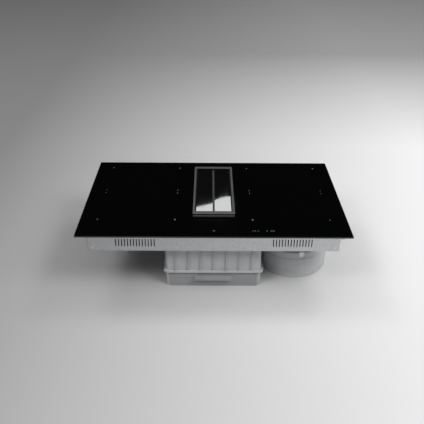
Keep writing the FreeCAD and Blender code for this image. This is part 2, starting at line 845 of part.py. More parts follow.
def make_suction_box_lower():
    """The lower casing: a tub with an opening at the front and two rails for the spill tank."""
    high_z = -box_split_depth
    floor = box_bottom + box_wall
    shell = rounded_block((-box_half_x, -box_half_y, box_bottom), (box_half_x, box_half_y, high_z),
                          box_corner_radius)
    rim = rounded_block((-box_half_x - box_rim, -box_half_y - box_rim, high_z - box_rim_thickness),
                        (box_half_x + box_rim, box_half_y + box_rim, high_z), box_corner_radius + box_rim)
    inside = rounded_block((-box_half_x + box_wall, -box_half_y + box_wall, floor),
                           (box_half_x - box_wall, box_half_y - box_wall, high_z + cut_over),
                           box_corner_radius - box_wall)
    gate_x = tank_width / 2 + tank_floor_gap
    gate = block((-gate_x, -box_half_y - cut_over, floor),
                 (gate_x, -box_half_y + cut_reach, tank_top + tank_floor_gap))
    holes = screw_holes(rim_screw_places(), high_z - cut_reach, high_z + cut_over)
    shell = cut_all(fuse([shell, rim]), [inside, gate] + holes)
    rails = []
    for side in sides.values():
        inner = side * gate_x
        outer = side * (gate_x + rail_width)
        rails.append(block((min(inner, outer), -box_half_y + box_corner_radius, floor),
                           (max(inner, outer), tank_front + tank_length, floor + rail_height)))
    return fuse([shell] + rails)


def make_spill_tank():
    """A tub with a front plate and a hooked grip, which slides out to the front."""
    half = tank_width / 2
    tub = rounded_block((-half, tank_front, tank_bottom), (half, tank_front + tank_length, tank_top),
                        tank_corner_radius)
    inside = rounded_block((-half + tank_wall, tank_front + tank_wall, tank_bottom + tank_wall),
                           (half - tank_wall, tank_front + tank_length - tank_wall, tank_top + cut_over),
                           tank_corner_radius - tank_wall)
    plate_half = half + tank_front_overlap
    plate_front = tank_front - tank_front_thickness
    plate = block((-plate_half, plate_front, box_bottom + tank_floor_gap),
                  (plate_half, tank_front, tank_top + tank_front_overlap))
    corner = block((-half, tank_front, tank_bottom), (half, tank_front + tank_corner_radius, tank_top))
    grip_top = tank_top - tank_grip_drop
    grip_half = tank_grip_width / 2
    shelf = block((-grip_half, plate_front - tank_grip_depth, grip_top - tank_grip_wall),
                  (grip_half, plate_front, grip_top))
    hook = block((-grip_half, plate_front - tank_grip_depth, grip_top - tank_grip_height),
                 (grip_half, plate_front - tank_grip_depth + tank_grip_wall, grip_top))
    return fuse([fuse([tub, corner]).cut(inside), plate, shelf, hook])


# ---- Extraction fan ----
def volute_outline(rear_y):
    """The fan chamber in plan: a spiral of three quarter arcs, the tongue and the way out to the rear."""
    x = volute_centre_x
    y = volute_centre_y
    first = volute_radius
    second = first + volute_step
    third = second + volute_step
    tongue_low = y + first
    tongue_high = tongue_low + 2 * tongue_radius
    right = x + volute_step + third
    edges = [line_edge((fan_inner_left, rear_y), (fan_inner_left, tongue_high))]
    edges.append(line_edge((fan_inner_left, tongue_high), (x, tongue_high)))
    edges.append(arc_edge((x, tongue_low + tongue_radius), tongue_radius, 90, -90))
    edges.append(arc_edge((x, y), first, 90, 180))
    edges.append(arc_edge((x + volute_step, y), second, 180, 270))
    edges.append(arc_edge((x + volute_step, y + volute_step), third, 270, 360))
    edges.append(line_edge((right, y + volute_step), (right, rear_y)))
    edges.append(line_edge((right, rear_y), (fan_inner_left, rear_y)))
    return Part.Wire(edges)


def volute_block(rear_y, growth, low, high):
    """The fan chamber's outline, grown by a wall, as an upright solid."""
    outline = volute_outline(rear_y)
    if growth > 0:
        outline = outline.makeOffset2D(growth)
    solid = Part.Face(outline).extrude(vector(0, 0, high - low))
    solid.translate(vector(0, 0, low))
    return solid


def make_fan_casing():
    outer = volute_block(outlet_end_y - fan_wall, fan_wall, fan_bottom, fan_cover_bottom)
    return outer.cut(volute_block(outlet_end_y + fan_wall, 0, fan_floor, fan_top))


def make_fan_cover():
    plate = volute_block(outlet_end_y - fan_wall, fan_wall, fan_cover_bottom, fan_top)
    hole_radius = inlet_radius + inlet_wall
    return plate.cut(post(fan_x, fan_y, fan_cover_bottom - cut_over, fan_top + cut_over, hole_radius))


def make_inlet_ring():
    """A flared ring that leads the air from the duct into the impeller."""
    low = impeller_top + inlet_end_gap
    high = fan_top
    lip = high + inlet_wall
    flare = inlet_radius + inlet_flare

    def at(radius, z):
        return vector(radius, 0, z)

    turn = inlet_flare * math.sqrt(0.5)
    points = [at(inlet_radius, low), at(inlet_radius, lip - inlet_flare)]
    edges = [Part.LineSegment(points[0], points[1]).toShape()]
    mouth = Part.Arc(points[1], at(flare - turn, lip - inlet_flare + turn), at(flare, lip))
    edges.append(mouth.toShape())
    rest = [at(flare, lip), at(flare + inlet_rim, lip), at(flare + inlet_rim, high)]
    rest += [at(inlet_radius + inlet_wall, high), at(inlet_radius + inlet_wall, low), at(inlet_radius, low)]
    for start, end in zip(rest[:-1], rest[1:]):
        edges.append(Part.LineSegment(start, end).toShape())
    ring = Part.Face(Part.Wire(edges)).revolve(vector(0, 0, 0), vector(0, 0, 1), 360)
    ring.translate(vector(fan_x, fan_y, 0))
    return ring


def make_impeller():
    """A drum fan wheel: back plate, hub cup over the motor, curved blades and a top ring."""
    plate_top = impeller_bottom + impeller_plate
    ring_low = impeller_top - impeller_plate
    hub_inner = hub_radius - hub_wall
    plate = post(0, 0, impeller_bottom, plate_top, impeller_radius)
    hub = post(0, 0, impeller_bottom, hub_top, hub_radius)
    ring = post(0, 0, ring_low, impeller_top, impeller_radius)
    ring = ring.cut(post(0, 0, ring_low - cut_over, impeller_top + cut_over, impeller_inner_radius))
    chord = impeller_radius - impeller_inner_radius
    bow = chord * blade_bow
    outer_arc = Part.Arc(vector(impeller_inner_radius, 0, 0),
                         vector(impeller_inner_radius + chord / 2, bow, 0),
                         vector(impeller_radius - blade_tip_gap, 0, 0))
    inner_arc = Part.Arc(vector(impeller_radius - blade_tip_gap, blade_thickness, 0),
                         vector(impeller_inner_radius + chord / 2, bow + blade_thickness, 0),
                         vector(impeller_inner_radius, blade_thickness, 0))
    tip = vector(impeller_radius - blade_tip_gap, 0, 0)
    root = vector(impeller_inner_radius, 0, 0)
    lift = vector(0, blade_thickness, 0)
    outline = Part.Wire([outer_arc.toShape(), Part.LineSegment(tip, tip + lift).toShape(),
                         inner_arc.toShape(), Part.LineSegment(root + lift, root).toShape()])
    blade = Part.Face(outline).extrude(vector(0, 0, ring_low - plate_top))
    blade.translate(vector(0, 0, plate_top))
    blades = []
    for i in range(blade_count):
        copy = blade.copy()
        copy.rotate(vector(0, 0, 0), vector(0, 0, 1), 360.0 * i / blade_count)
        blades.append(copy)
    wheel = plate.fuse([hub, ring] + blades).removeSplitter()
    wheel = wheel.cut(post(0, 0, impeller_bottom - cut_over, hub_top - hub_wall, hub_inner))
    wheel = wheel.cut(post(0, 0, hub_top - hub_wall - cut_over, hub_top + cut_over,
                           spindle_radius + shaft_fit))
    wheel.translate(vector(fan_x, fan_y, 0))
    return wheel


def make_fan_motor():
    """The fixed part of the motor on the casing's floor, with its spindle."""
    foot = post(fan_x, fan_y, fan_floor, fan_floor + motor_foot_thickness, motor_foot_radius)
    stator_top = hub_top - hub_wall - fan_motor_gap
    stator = post(fan_x, fan_y, fan_floor, stator_top, hub_radius - hub_wall - fan_motor_gap)
    spindle = post(fan_x, fan_y, stator_top, hub_top + spindle_reach, spindle_radius)
    return fuse([foot, stator, spindle])


def make_intake_duct():
    """The hood that leads the air from the suction box's window over the fan's inlet."""
    left = box_half_x
    right = fan_x + impeller_radius + intake_margin
    front = fan_y - impeller_radius - intake_margin
    rear = fan_y + impeller_radius + intake_margin
    top = chassis_bottom - intake_top_gap
    hood = block((left, front, fan_top), (right, rear, top))
    hollow = block((left - cut_over, front + intake_wall, fan_top - cut_over),
                   (right - intake_wall, rear - intake_wall, top - intake_wall))
    bridge = block((left, front, fan_cover_bottom), (fan_left, rear, fan_top))
    return fuse([hood.cut(hollow), bridge])


def make_fan_hangers():
    """Posts that hang the fan casing on the chassis."""
    places = [(fan_right - hanger_inset, fan_y), (fan_right - hanger_inset, hanger_rear_y)]
    places.append((fan_left + hanger_inset, outlet_end_y - hanger_inset))
    return Part.makeCompound([post(x, y, fan_top, chassis_bottom, hanger_radius) for x, y in places])


def make_outlet_spigot():
    """The flanged stub of flat duct at the rear."""
    centre_x = (fan_left + fan_right) / 2
    centre_z = (fan_bottom + fan_top) / 2
    flange_end = outlet_end_y + spigot_flange
    flange = block((fan_left, outlet_end_y, fan_bottom), (fan_right, flange_end, fan_top))
    half_w = spigot_width / 2
    half_h = spigot_height / 2
    stub = block((centre_x - half_w, outlet_end_y, centre_z - half_h),
                 (centre_x + half_w, flange_end + spigot_length, centre_z + half_h))
    inner_w = half_w - spigot_wall
    inner_h = half_h - spigot_wall
    bore = block((centre_x - inner_w, outlet_end_y - cut_over, centre_z - inner_h),
                 (centre_x + inner_w, flange_end + spigot_length + cut_over, centre_z + inner_h))
    return fuse([flange, stub]).cut(bore)


# ---- Induction coils and electronics ----
def make_coil(x, y):
    width = zone_width - 2 * coil_margin
    depth = zone_depth - 2 * coil_margin
    ring = racetrack((x, y), width, depth, coil_bottom, insulation_bottom)
    hole = racetrack((x, y), coil_hole_width, coil_hole_depth, coil_bottom - cut_over,
                     insulation_bottom + cut_over)
    return ring.cut(hole)


def make_coil_former(x, y):
    """The plate that a coil is wound on, with a rim round it."""
    gap = former_rim_gap
    width = zone_width - 2 * coil_margin + 2 * (gap + former_rim)
    depth = zone_depth - 2 * coil_margin + 2 * (gap + former_rim)
    plate = racetrack((x, y), width, depth, former_bottom, coil_bottom + former_rim_height)
    pocket = racetrack((x, y), width - 2 * former_rim, depth - 2 * former_rim, coil_bottom,
                       insulation_bottom + cut_over)
    return plate.cut(pocket)


def make_ferrites(x, y):
    """Bars under a coil, in a front and a rear row."""
    bars = []
    pitch = zone_width / (ferrite_column_count + 1)
    for i in range(ferrite_column_count):
        bar_x = x + (i - (ferrite_column_count - 1) / 2) * pitch
        for row in (-1, 1):
            bar_y = y + row * (coil_hole_depth / 2 + ferrite_length / 2)
            bars.append(block((bar_x - ferrite_width / 2, bar_y - ferrite_length / 2, ferrite_bottom),
                              (bar_x + ferrite_width / 2, bar_y + ferrite_length / 2, former_bottom)))
    return bars


def plate_limits():
    """The coil plate in plan, on the right-hand side."""
    left = throat_half + throat_wall + coil_plate_inner_gap
    right = chassis_half_x - chassis_sheet - coil_plate_margin
    front = front_zone_y - zone_depth / 2 - coil_plate_margin
    rear = rear_zone_y + zone_depth / 2 + coil_plate_margin
    return left, right, front, rear


def make_insulation():
    left, right, front, rear = plate_limits()
    inner = zone_inner_x - coil_plate_margin
    return block((inner, front, insulation_bottom), (right, rear, glass_bottom))


def make_coil_plate():
    """A bridge of aluminium sheet that stands on the chassis floor and carries two coils."""
    left, right, front, rear = plate_limits()
    top = ferrite_bottom
    plate = block((left, front, coil_plate_bottom), (right, rear, top))
    legs = [block((left, front, chassis_floor), (left + coil_plate_thickness, rear, top))]
    legs.append(block((right - coil_plate_thickness, front, chassis_floor), (right, rear, top)))
    return fuse([plate] + legs)


def make_sensor(x, y):
    return post(x, y, coil_bottom, coil_bottom + sensor_height, sensor_radius)


def standoff_places():
    places = []
    for side in sides.values():
        for dx in (-1, 1):
            for dy in (-1, 1):
                x = side * board_x + dx * (board_width / 2 - standoff_inset)
                places.append((x, board_y + dy * (board_length / 2 - standoff_inset)))
    return places


def make_power_board():
    """A circuit board with its capacitors and chokes, on the right-hand side."""
    board = block((board_x - board_width / 2, board_y - board_length / 2, board_bottom),
                  (board_x + board_width / 2, board_y + board_length / 2, board_top))
    pieces = [board]
    row_x = board_x + board_width / 2 - part_row_inset
    for i in range(capacitor_count):
        y = board_y + (i - (capacitor_count - 1) / 2) * capacitor_pitch
        pieces.append(post(row_x, y, board_top, board_top + capacitor_height, capacitor_radius))
    row_x = board_x - board_width / 2 + part_row_inset
    for i in range(choke_count):
        y = board_y + (i - (choke_count - 1) / 2) * choke_pitch
        choke_top = board_top + choke_height
        ring = post(row_x, y, board_top, choke_top, choke_radius)
        pieces.append(ring.cut(post(row_x, y, board_top - cut_over, choke_top + cut_over, choke_hole_radius)))
    return Part.makeCompound(pieces)


def make_heat_sink():
    """A finned block in the middle of the power board, on the right-hand side."""
    half_w = heat_sink_width / 2
    half_l = heat_sink_length / 2
    low = (board_x - half_w, board_y - half_l, board_top)
    pieces = [block(low, (board_x + half_w, board_y + half_l, board_top + heat_sink_base))]
    pitch = (heat_sink_width - heat_sink_fin) / (heat_sink_fin_count - 1)
    for i in range(heat_sink_fin_count):
        x = low[0] + i * pitch
        pieces.append(block((x, low[1], board_top), (x + heat_sink_fin, board_y + half_l,
                                                     board_top + heat_sink_height)))
    return fuse(pieces)


def make_cooler_housing():
    """A square fan frame with struts that hold the spindle, on the right-hand side."""
    half = cooler_size / 2
    low = chassis_floor
    high = low + cooler_thickness
    frame = block((cooler_x - half, cooler_y - half, low), (cooler_x + half, cooler_y + half, high))
    frame = frame.cut(post(cooler_x, cooler_y, low - cut_over, high + cut_over, cooler_duct_radius))
    strut_top = low + cooler_strut
    pieces = [frame, post(cooler_x, cooler_y, low, strut_top, cooler_hub_radius)]
    for i in range(3):
        strut = block((0, -cooler_frame_web, low),
                      (cooler_duct_radius + cooler_frame_web, cooler_frame_web, strut_top))
        strut.rotate(vector(0, 0, 0), vector(0, 0, 1), 90 + 120 * i)
        strut.translate(vector(cooler_x, cooler_y, 0))
        pieces.append(strut)
    pieces.append(post(cooler_x, cooler_y, low, low + cooler_thickness / 2, cooler_spindle_radius))
    return fuse(pieces)


def make_cooler_rotor():
    low = chassis_floor + cooler_strut + cooler_blade_gap
    high = chassis_floor + cooler_thickness - cooler_blade_gap
    hub = post(0, 0, low, high, cooler_hub_radius)
    reach = cooler_duct_radius - cooler_blade_gap
    pieces = [hub]
    for i in range(cooler_blade_count):
        blade = block((cooler_hub_radius / 2, -cooler_blade_width / 2, -cooler_blade_thickness / 2),
                      (reach - cooler_blade_thickness, cooler_blade_width / 2, cooler_blade_thickness / 2))
        blade.rotate(vector(0, 0, 0), vector(1, 0, 0), cooler_blade_pitch)
        blade.rotate(vector(0, 0, 0), vector(0, 0, 1), 360.0 * i / cooler_blade_count)
        blade.translate(vector(0, 0, (low + high) / 2))
        pieces.append(blade)
    rotor = fuse(pieces).common(post(0, 0, low, high, reach))
    rotor = rotor.cut(post(0, 0, low - cut_over, chassis_floor + cooler_thickness / 2 + cut_over,
                           cooler_spindle_radius + shaft_fit))
    rotor.translate(vector(cooler_x, cooler_y, 0))
    return rotor


def make_touch_board():
    return block((touch_centre_x - touch_width / 2, touch_centre_y - touch_depth / 2,
                  glass_bottom - board_thickness),
                 (touch_centre_x + touch_width / 2, touch_centre_y + touch_depth / 2, glass_bottom))


def make_touch_carrier():
    """A channel under the touch board, held by the chassis front wall."""
    top = glass_bottom - board_thickness
    low = (touch_centre_x - touch_width / 2, -chassis_half_y + chassis_sheet, top - touch_carrier_height)
    high = (touch_centre_x + touch_width / 2, touch_centre_y + touch_depth / 2, top)
    body = block(low, high)
    pocket = block((low[0] + terminal_wall, low[1] + terminal_wall, low[2] + terminal_wall),
                   (high[0] - terminal_wall, high[1] - terminal_wall, top + cut_over))
    return body.cut(pocket)


# ---- Mains connection ----
def make_terminal_box():
    half_w = terminal_width / 2
    half_l = terminal_length / 2
    low = (terminal_x - half_w, terminal_y - half_l, terminal_bottom + terminal_wall)
    high = (terminal_x + half_w, terminal_y + half_l, chassis_bottom)
    wall = ring_block(low, high, (low[0] + terminal_wall, low[1] + terminal_wall),
                      (high[0] - terminal_wall, high[1] - terminal_wall))
    hole_radius = gland_radius + wall_fit
    return wall.cut(rod(terminal_x, gland_z, high[1] - cut_reach, high[1] + cut_reach, hole_radius))


def make_terminal_cover():
    half_w = terminal_width / 2
    half_l = terminal_length / 2
    plate = block((terminal_x - half_w, terminal_y - half_l, terminal_bottom),
                  (terminal_x + half_w, terminal_y + half_l, terminal_bottom + terminal_wall))
    return plate


def make_terminal_block():
    """A row of clamping terminals under the chassis floor, with the wire entries to the rear."""
    width = terminal_count * terminal_pitch
    centre_y = terminal_y - terminal_length / 4
    body = block((terminal_x - width / 2, centre_y - terminal_block_depth / 2,
                  chassis_bottom - terminal_block_height),
                 (terminal_x + width / 2, centre_y + terminal_block_depth / 2, chassis_bottom))
    cuts = []
    for i in range(terminal_count):
        x = terminal_x + (i - (terminal_count - 1) / 2) * terminal_pitch
        middle = chassis_bottom - terminal_block_height / 2
        cuts.append(rod(x, middle, centre_y, centre_y + terminal_block_depth, terminal_hole_radius))
        cuts.append(post(x, centre_y, chassis_bottom - terminal_block_height - cut_over, middle,
                         terminal_hole_radius))
    return cut_all(body, cuts)


def make_cable_gland():
    """The threaded gland in the rear wall of the terminal box, and its lock nut inside."""
    outside = terminal_rear
    inside = terminal_rear - terminal_wall
    thread = rod(terminal_x, gland_z, inside - gland_thread_reach, outside + gland_length, gland_radius)
    flange = hexagon(gland_nut_radius, outside, outside + gland_nut_length)
    bore = rod(terminal_x, gland_z, inside - cut_reach, outside + gland_length + cut_over, gland_bore_radius)
    gland = fuse([thread, flange]).cut(bore)
    nut = hexagon(gland_nut_radius, inside - gland_nut_length, inside)
    nut = nut.cut(rod(terminal_x, gland_z, inside - cut_reach, outside, gland_radius + shaft_fit))
    return Part.makeCompound([gland, nut])


def hexagon(radius, y0, y1):
    """A hexagonal nut on the gland's axis, by its corner radius."""
    corners = []
    for i in range(7):
        angle = math.radians(60 * i)
        corners.append(vector(terminal_x + radius * math.cos(angle), y0, gland_z + radius * math.sin(angle)))
    return Part.Face(Part.makePolygon(corners)).extrude(vector(0, y1 - y0, 0))


# ---- Fixing ----
def clamp_screw_places():
    """Where the screws of a mounting clamp go through the chassis wall, as (y, z)."""
    places = []
    for row in (-1, 1):
        for column in (-1, 1):
            y = row * clamp_spacing_y / 2 + column * clamp_screw_spacing / 2
            places.append((y, -clamp_ear_depth + clamp_screw_rise))
    return places


def clamp_screw_holes():
    reach = chassis_half_x + cut_reach
    holes = []
    for y, z in clamp_screw_places():
        holes.append(cross_rod(y, z, -reach, -chassis_half_x + cut_reach, screw_radius + screw_fit))
        holes.append(cross_rod(y, z, chassis_half_x - cut_reach, reach, screw_radius + screw_fit))
    return holes


def make_mounting_clamps():
    """Four brackets on the chassis ends, each with an ear under the worktop."""
    clamps = []
    for row in (-1, 1):
        y0 = row * clamp_spacing_y / 2 - clamp_width / 2
        y1 = y0 + clamp_width
        plate = block((chassis_half_x, y0, -clamp_ear_depth - clamp_sheet),
                      (chassis_half_x + clamp_sheet, y1, -clamp_ear_depth - clamp_sheet + clamp_height))
        ear = block((chassis_half_x, y0, -clamp_ear_depth - clamp_sheet),
                    (chassis_half_x + clamp_ear, y1, -clamp_ear_depth))
        hole = post(chassis_half_x + clamp_hole_reach, (y0 + y1) / 2, -clamp_ear_depth - cut_reach,
                    -clamp_ear_depth + cut_reach, clamp_hole_radius)
        clamps.append(cut_all(fuse([plate, ear]), [hole] + clamp_screw_holes()))
    return Part.makeCompound(clamps + [mirrored(clamp) for clamp in clamps])


def make_clamp_screws():
    screws = []
    start = chassis_half_x + clamp_sheet
    for y, z in clamp_screw_places():
        head = cross_rod(y, z, start, start + screw_head_height, screw_head_radius)
        shank = cross_rod(y, z, chassis_half_x - chassis_sheet - screw_point, start, screw_radius)
        screws.append(fuse([head, shank]))
    return Part.makeCompound(screws + [mirrored(screw) for screw in screws])


def box_screw_places():
    """Screws through the chassis floor into the suction box."""
    x = (throat_half + funnel_wall + funnel_flange + box_half_x) / 2
    last_y = box_half_y - box_screw_inset
    return [(side * x, y) for side in sides.values() for y in (-last_y, 0, last_y)]


def rim_screw_places():
    """Screws through the two rims of the suction box, at the front, the rear and the left."""
    y = box_half_y + box_rim / 2
    last_x = box_half_x - rim_screw_inset
    places = [(x, row * y) for x in (-last_x, 0, last_x) for row in (-1, 1)]
    x = -box_half_x - box_rim / 2
    return places + [(x, -rim_screw_y), (x, rim_screw_y)]


def screw_holes(places, z0, z1):
    return [post(x, y, z0, z1, screw_radius + screw_fit) for x, y in places]


def make_casing_screws():
    screws = []
    for x, y in box_screw_places():
        head = post(x, y, chassis_floor, chassis_floor + screw_head_height, screw_head_radius)
        shank = post(x, y, chassis_bottom - box_wall - screw_point, chassis_floor, screw_radius)
        screws.append(fuse([head, shank]))
    under = -box_split_depth - box_rim_thickness
    for x, y in rim_screw_places():
        head = post(x, y, under - screw_head_height, under, screw_head_radius)
        shank = post(x, y, under, -box_split_depth + box_rim_thickness + screw_point, screw_radius)
        screws.append(fuse([head, shank]))
    return Part.makeCompound(screws)


# ---- The whole cooktop ----
def make_vent_parts():
    parts["glass_top"] = make_glass()
    parts["glass_gasket"] = make_gasket()
    parts["vent_skirt"] = make_vent_skirt()
    parts["vent_frame"] = make_vent_frame()
    parts["vent_trim"] = make_vent_trim()
    for name, side in sides.items():
        parts["flap_" + name] = make_flap(side)
        parts["flap_shaft_" + name] = make_flap_shaft(side)
    parts["flap_bushes"] = make_flap_bushes()
    make_gear_train()
    parts["idler_pins"] = make_idler_pins()
    parts["gear_cover"] = make_gear_cover()
    parts["flap_motor"] = make_flap_motor()


def make_air_parts():
    parts["air_funnel"] = make_air_funnel()
    parts["filter_frame"] = make_filter_frame()
    parts["filter_baffles"] = make_filter_baffles()
    parts["filter_handle"] = make_filter_handle()
    parts["suction_box_upper"] = make_suction_box_upper()
    parts["suction_box_lower"] = make_suction_box_lower()
    parts["spill_tank"] = make_spill_tank()
    parts["intake_duct"] = make_intake_duct()
    parts["fan_casing"] = make_fan_casing()
    parts["fan_cover"] = make_fan_cover()
    parts["inlet_ring"] = make_inlet_ring()
    parts["fan_impeller"] = make_impeller()
    parts["fan_motor"] = make_fan_motor()
    parts["fan_hangers"] = make_fan_hangers()
    parts["outlet_spigot"] = make_outlet_spigot()


def make_induction_parts():
    parts["chassis_tray"] = make_chassis_tray()
    formers = []
    ferrites = []
    sensors = []
    for name, side in sides.items():
        for zone, y in zones.items():
            x = side * zone_centre_x
            parts["coil_" + zone + "_" + name] = make_coil(x, y)
            formers.append(make_coil_former(x, y))
            ferrites += make_ferrites(x, y)
            sensors.append(make_sensor(x, y))
    parts["coil_formers"] = Part.makeCompound(formers)
    parts["ferrite_bars"] = Part.makeCompound(ferrites)
    parts["temperature_sensors"] = Part.makeCompound(sensors)
    sheet = make_insulation()
    parts["insulation_sheets"] = Part.makeCompound([sheet, mirrored(sheet)])
    sink = make_heat_sink()
    parts["heat_sinks"] = Part.makeCompound([sink, mirrored(sink)])
    makers = {"coil_plate_": make_coil_plate, "power_board_": make_power_board,
              "cooling_fan_housing_": make_cooler_housing, "cooling_fan_rotor_": make_cooler_rotor}
    for name, maker in makers.items():
        parts[name + "right"] = maker()
        parts[name + "left"] = mirrored(maker())
    parts["touch_board"] = make_touch_board()
    parts["touch_carrier"] = make_touch_carrier()


def make_fixing_parts():
    parts["terminal_box"] = make_terminal_box()
    parts["terminal_cover"] = make_terminal_cover()
    parts["terminal_block"] = make_terminal_block()
    parts["cable_gland"] = make_cable_gland()
    parts["mounting_clamps"] = make_mounting_clamps()
    parts["clamp_screws"] = make_clamp_screws()
    parts["casing_screws"] = make_casing_screws()


make_vent_parts()
make_air_parts()
make_induction_parts()
make_fixing_parts()
os.makedirs("parts", exist_ok=True)
for node, shape in parts.items():
    shape.exportStep("parts/" + node + ".step")
print(len(parts), "pieces written")
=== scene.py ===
import json
import math

import bmesh
import bpy
from mathutils import Matrix, Vector


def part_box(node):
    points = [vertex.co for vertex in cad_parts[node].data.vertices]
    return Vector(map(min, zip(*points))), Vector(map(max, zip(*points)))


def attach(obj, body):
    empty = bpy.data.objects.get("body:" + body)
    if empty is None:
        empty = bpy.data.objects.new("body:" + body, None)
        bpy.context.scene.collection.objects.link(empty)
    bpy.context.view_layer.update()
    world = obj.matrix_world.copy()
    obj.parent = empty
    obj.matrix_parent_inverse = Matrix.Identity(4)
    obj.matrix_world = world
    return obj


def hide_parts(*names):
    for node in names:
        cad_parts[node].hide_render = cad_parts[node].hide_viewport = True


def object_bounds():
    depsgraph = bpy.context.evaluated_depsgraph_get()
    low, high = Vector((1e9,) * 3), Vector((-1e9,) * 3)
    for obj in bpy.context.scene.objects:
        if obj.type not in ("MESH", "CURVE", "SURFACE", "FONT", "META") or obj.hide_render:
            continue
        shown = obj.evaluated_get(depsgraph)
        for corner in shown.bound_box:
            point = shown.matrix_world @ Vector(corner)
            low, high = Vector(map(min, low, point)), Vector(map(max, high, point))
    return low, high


# Looks of a built-in induction cooktop with a central downdraft vent. Lengths are in metres.
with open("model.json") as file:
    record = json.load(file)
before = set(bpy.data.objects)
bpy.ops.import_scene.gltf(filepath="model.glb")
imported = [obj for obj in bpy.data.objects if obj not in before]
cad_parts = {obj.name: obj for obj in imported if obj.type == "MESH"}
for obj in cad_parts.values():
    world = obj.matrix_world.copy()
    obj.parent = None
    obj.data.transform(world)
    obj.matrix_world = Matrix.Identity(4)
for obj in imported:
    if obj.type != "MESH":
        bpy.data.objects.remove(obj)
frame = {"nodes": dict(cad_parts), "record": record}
cad_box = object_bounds()

MM = 0.001
ROOT = "cooktop"
CENTRE_LINE_X = 0.0
SAME_PLACE = 0.001 * MM  # points nearer than this are one

# ---- Places taken from the frame ----
_, glass_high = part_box("glass_top")
trim_low, trim_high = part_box("vent_trim")
tray_low, tray_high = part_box("chassis_tray")
upper_low, upper_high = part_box("suction_box_upper")
lower_low, lower_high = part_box("suction_box_lower")
tank_low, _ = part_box("spill_tank")
cover_low, cover_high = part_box("fan_cover")
casing_low, casing_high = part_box("fan_casing")
spigot_low, spigot_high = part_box("outlet_spigot")
terminal_low, terminal_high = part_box("terminal_cover")
coil_low, coil_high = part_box("coil_rear_right")
front_coil_low, front_coil_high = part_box("coil_front_right")
board_low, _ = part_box("power_board_right")
glass_surface = glass_high[2]


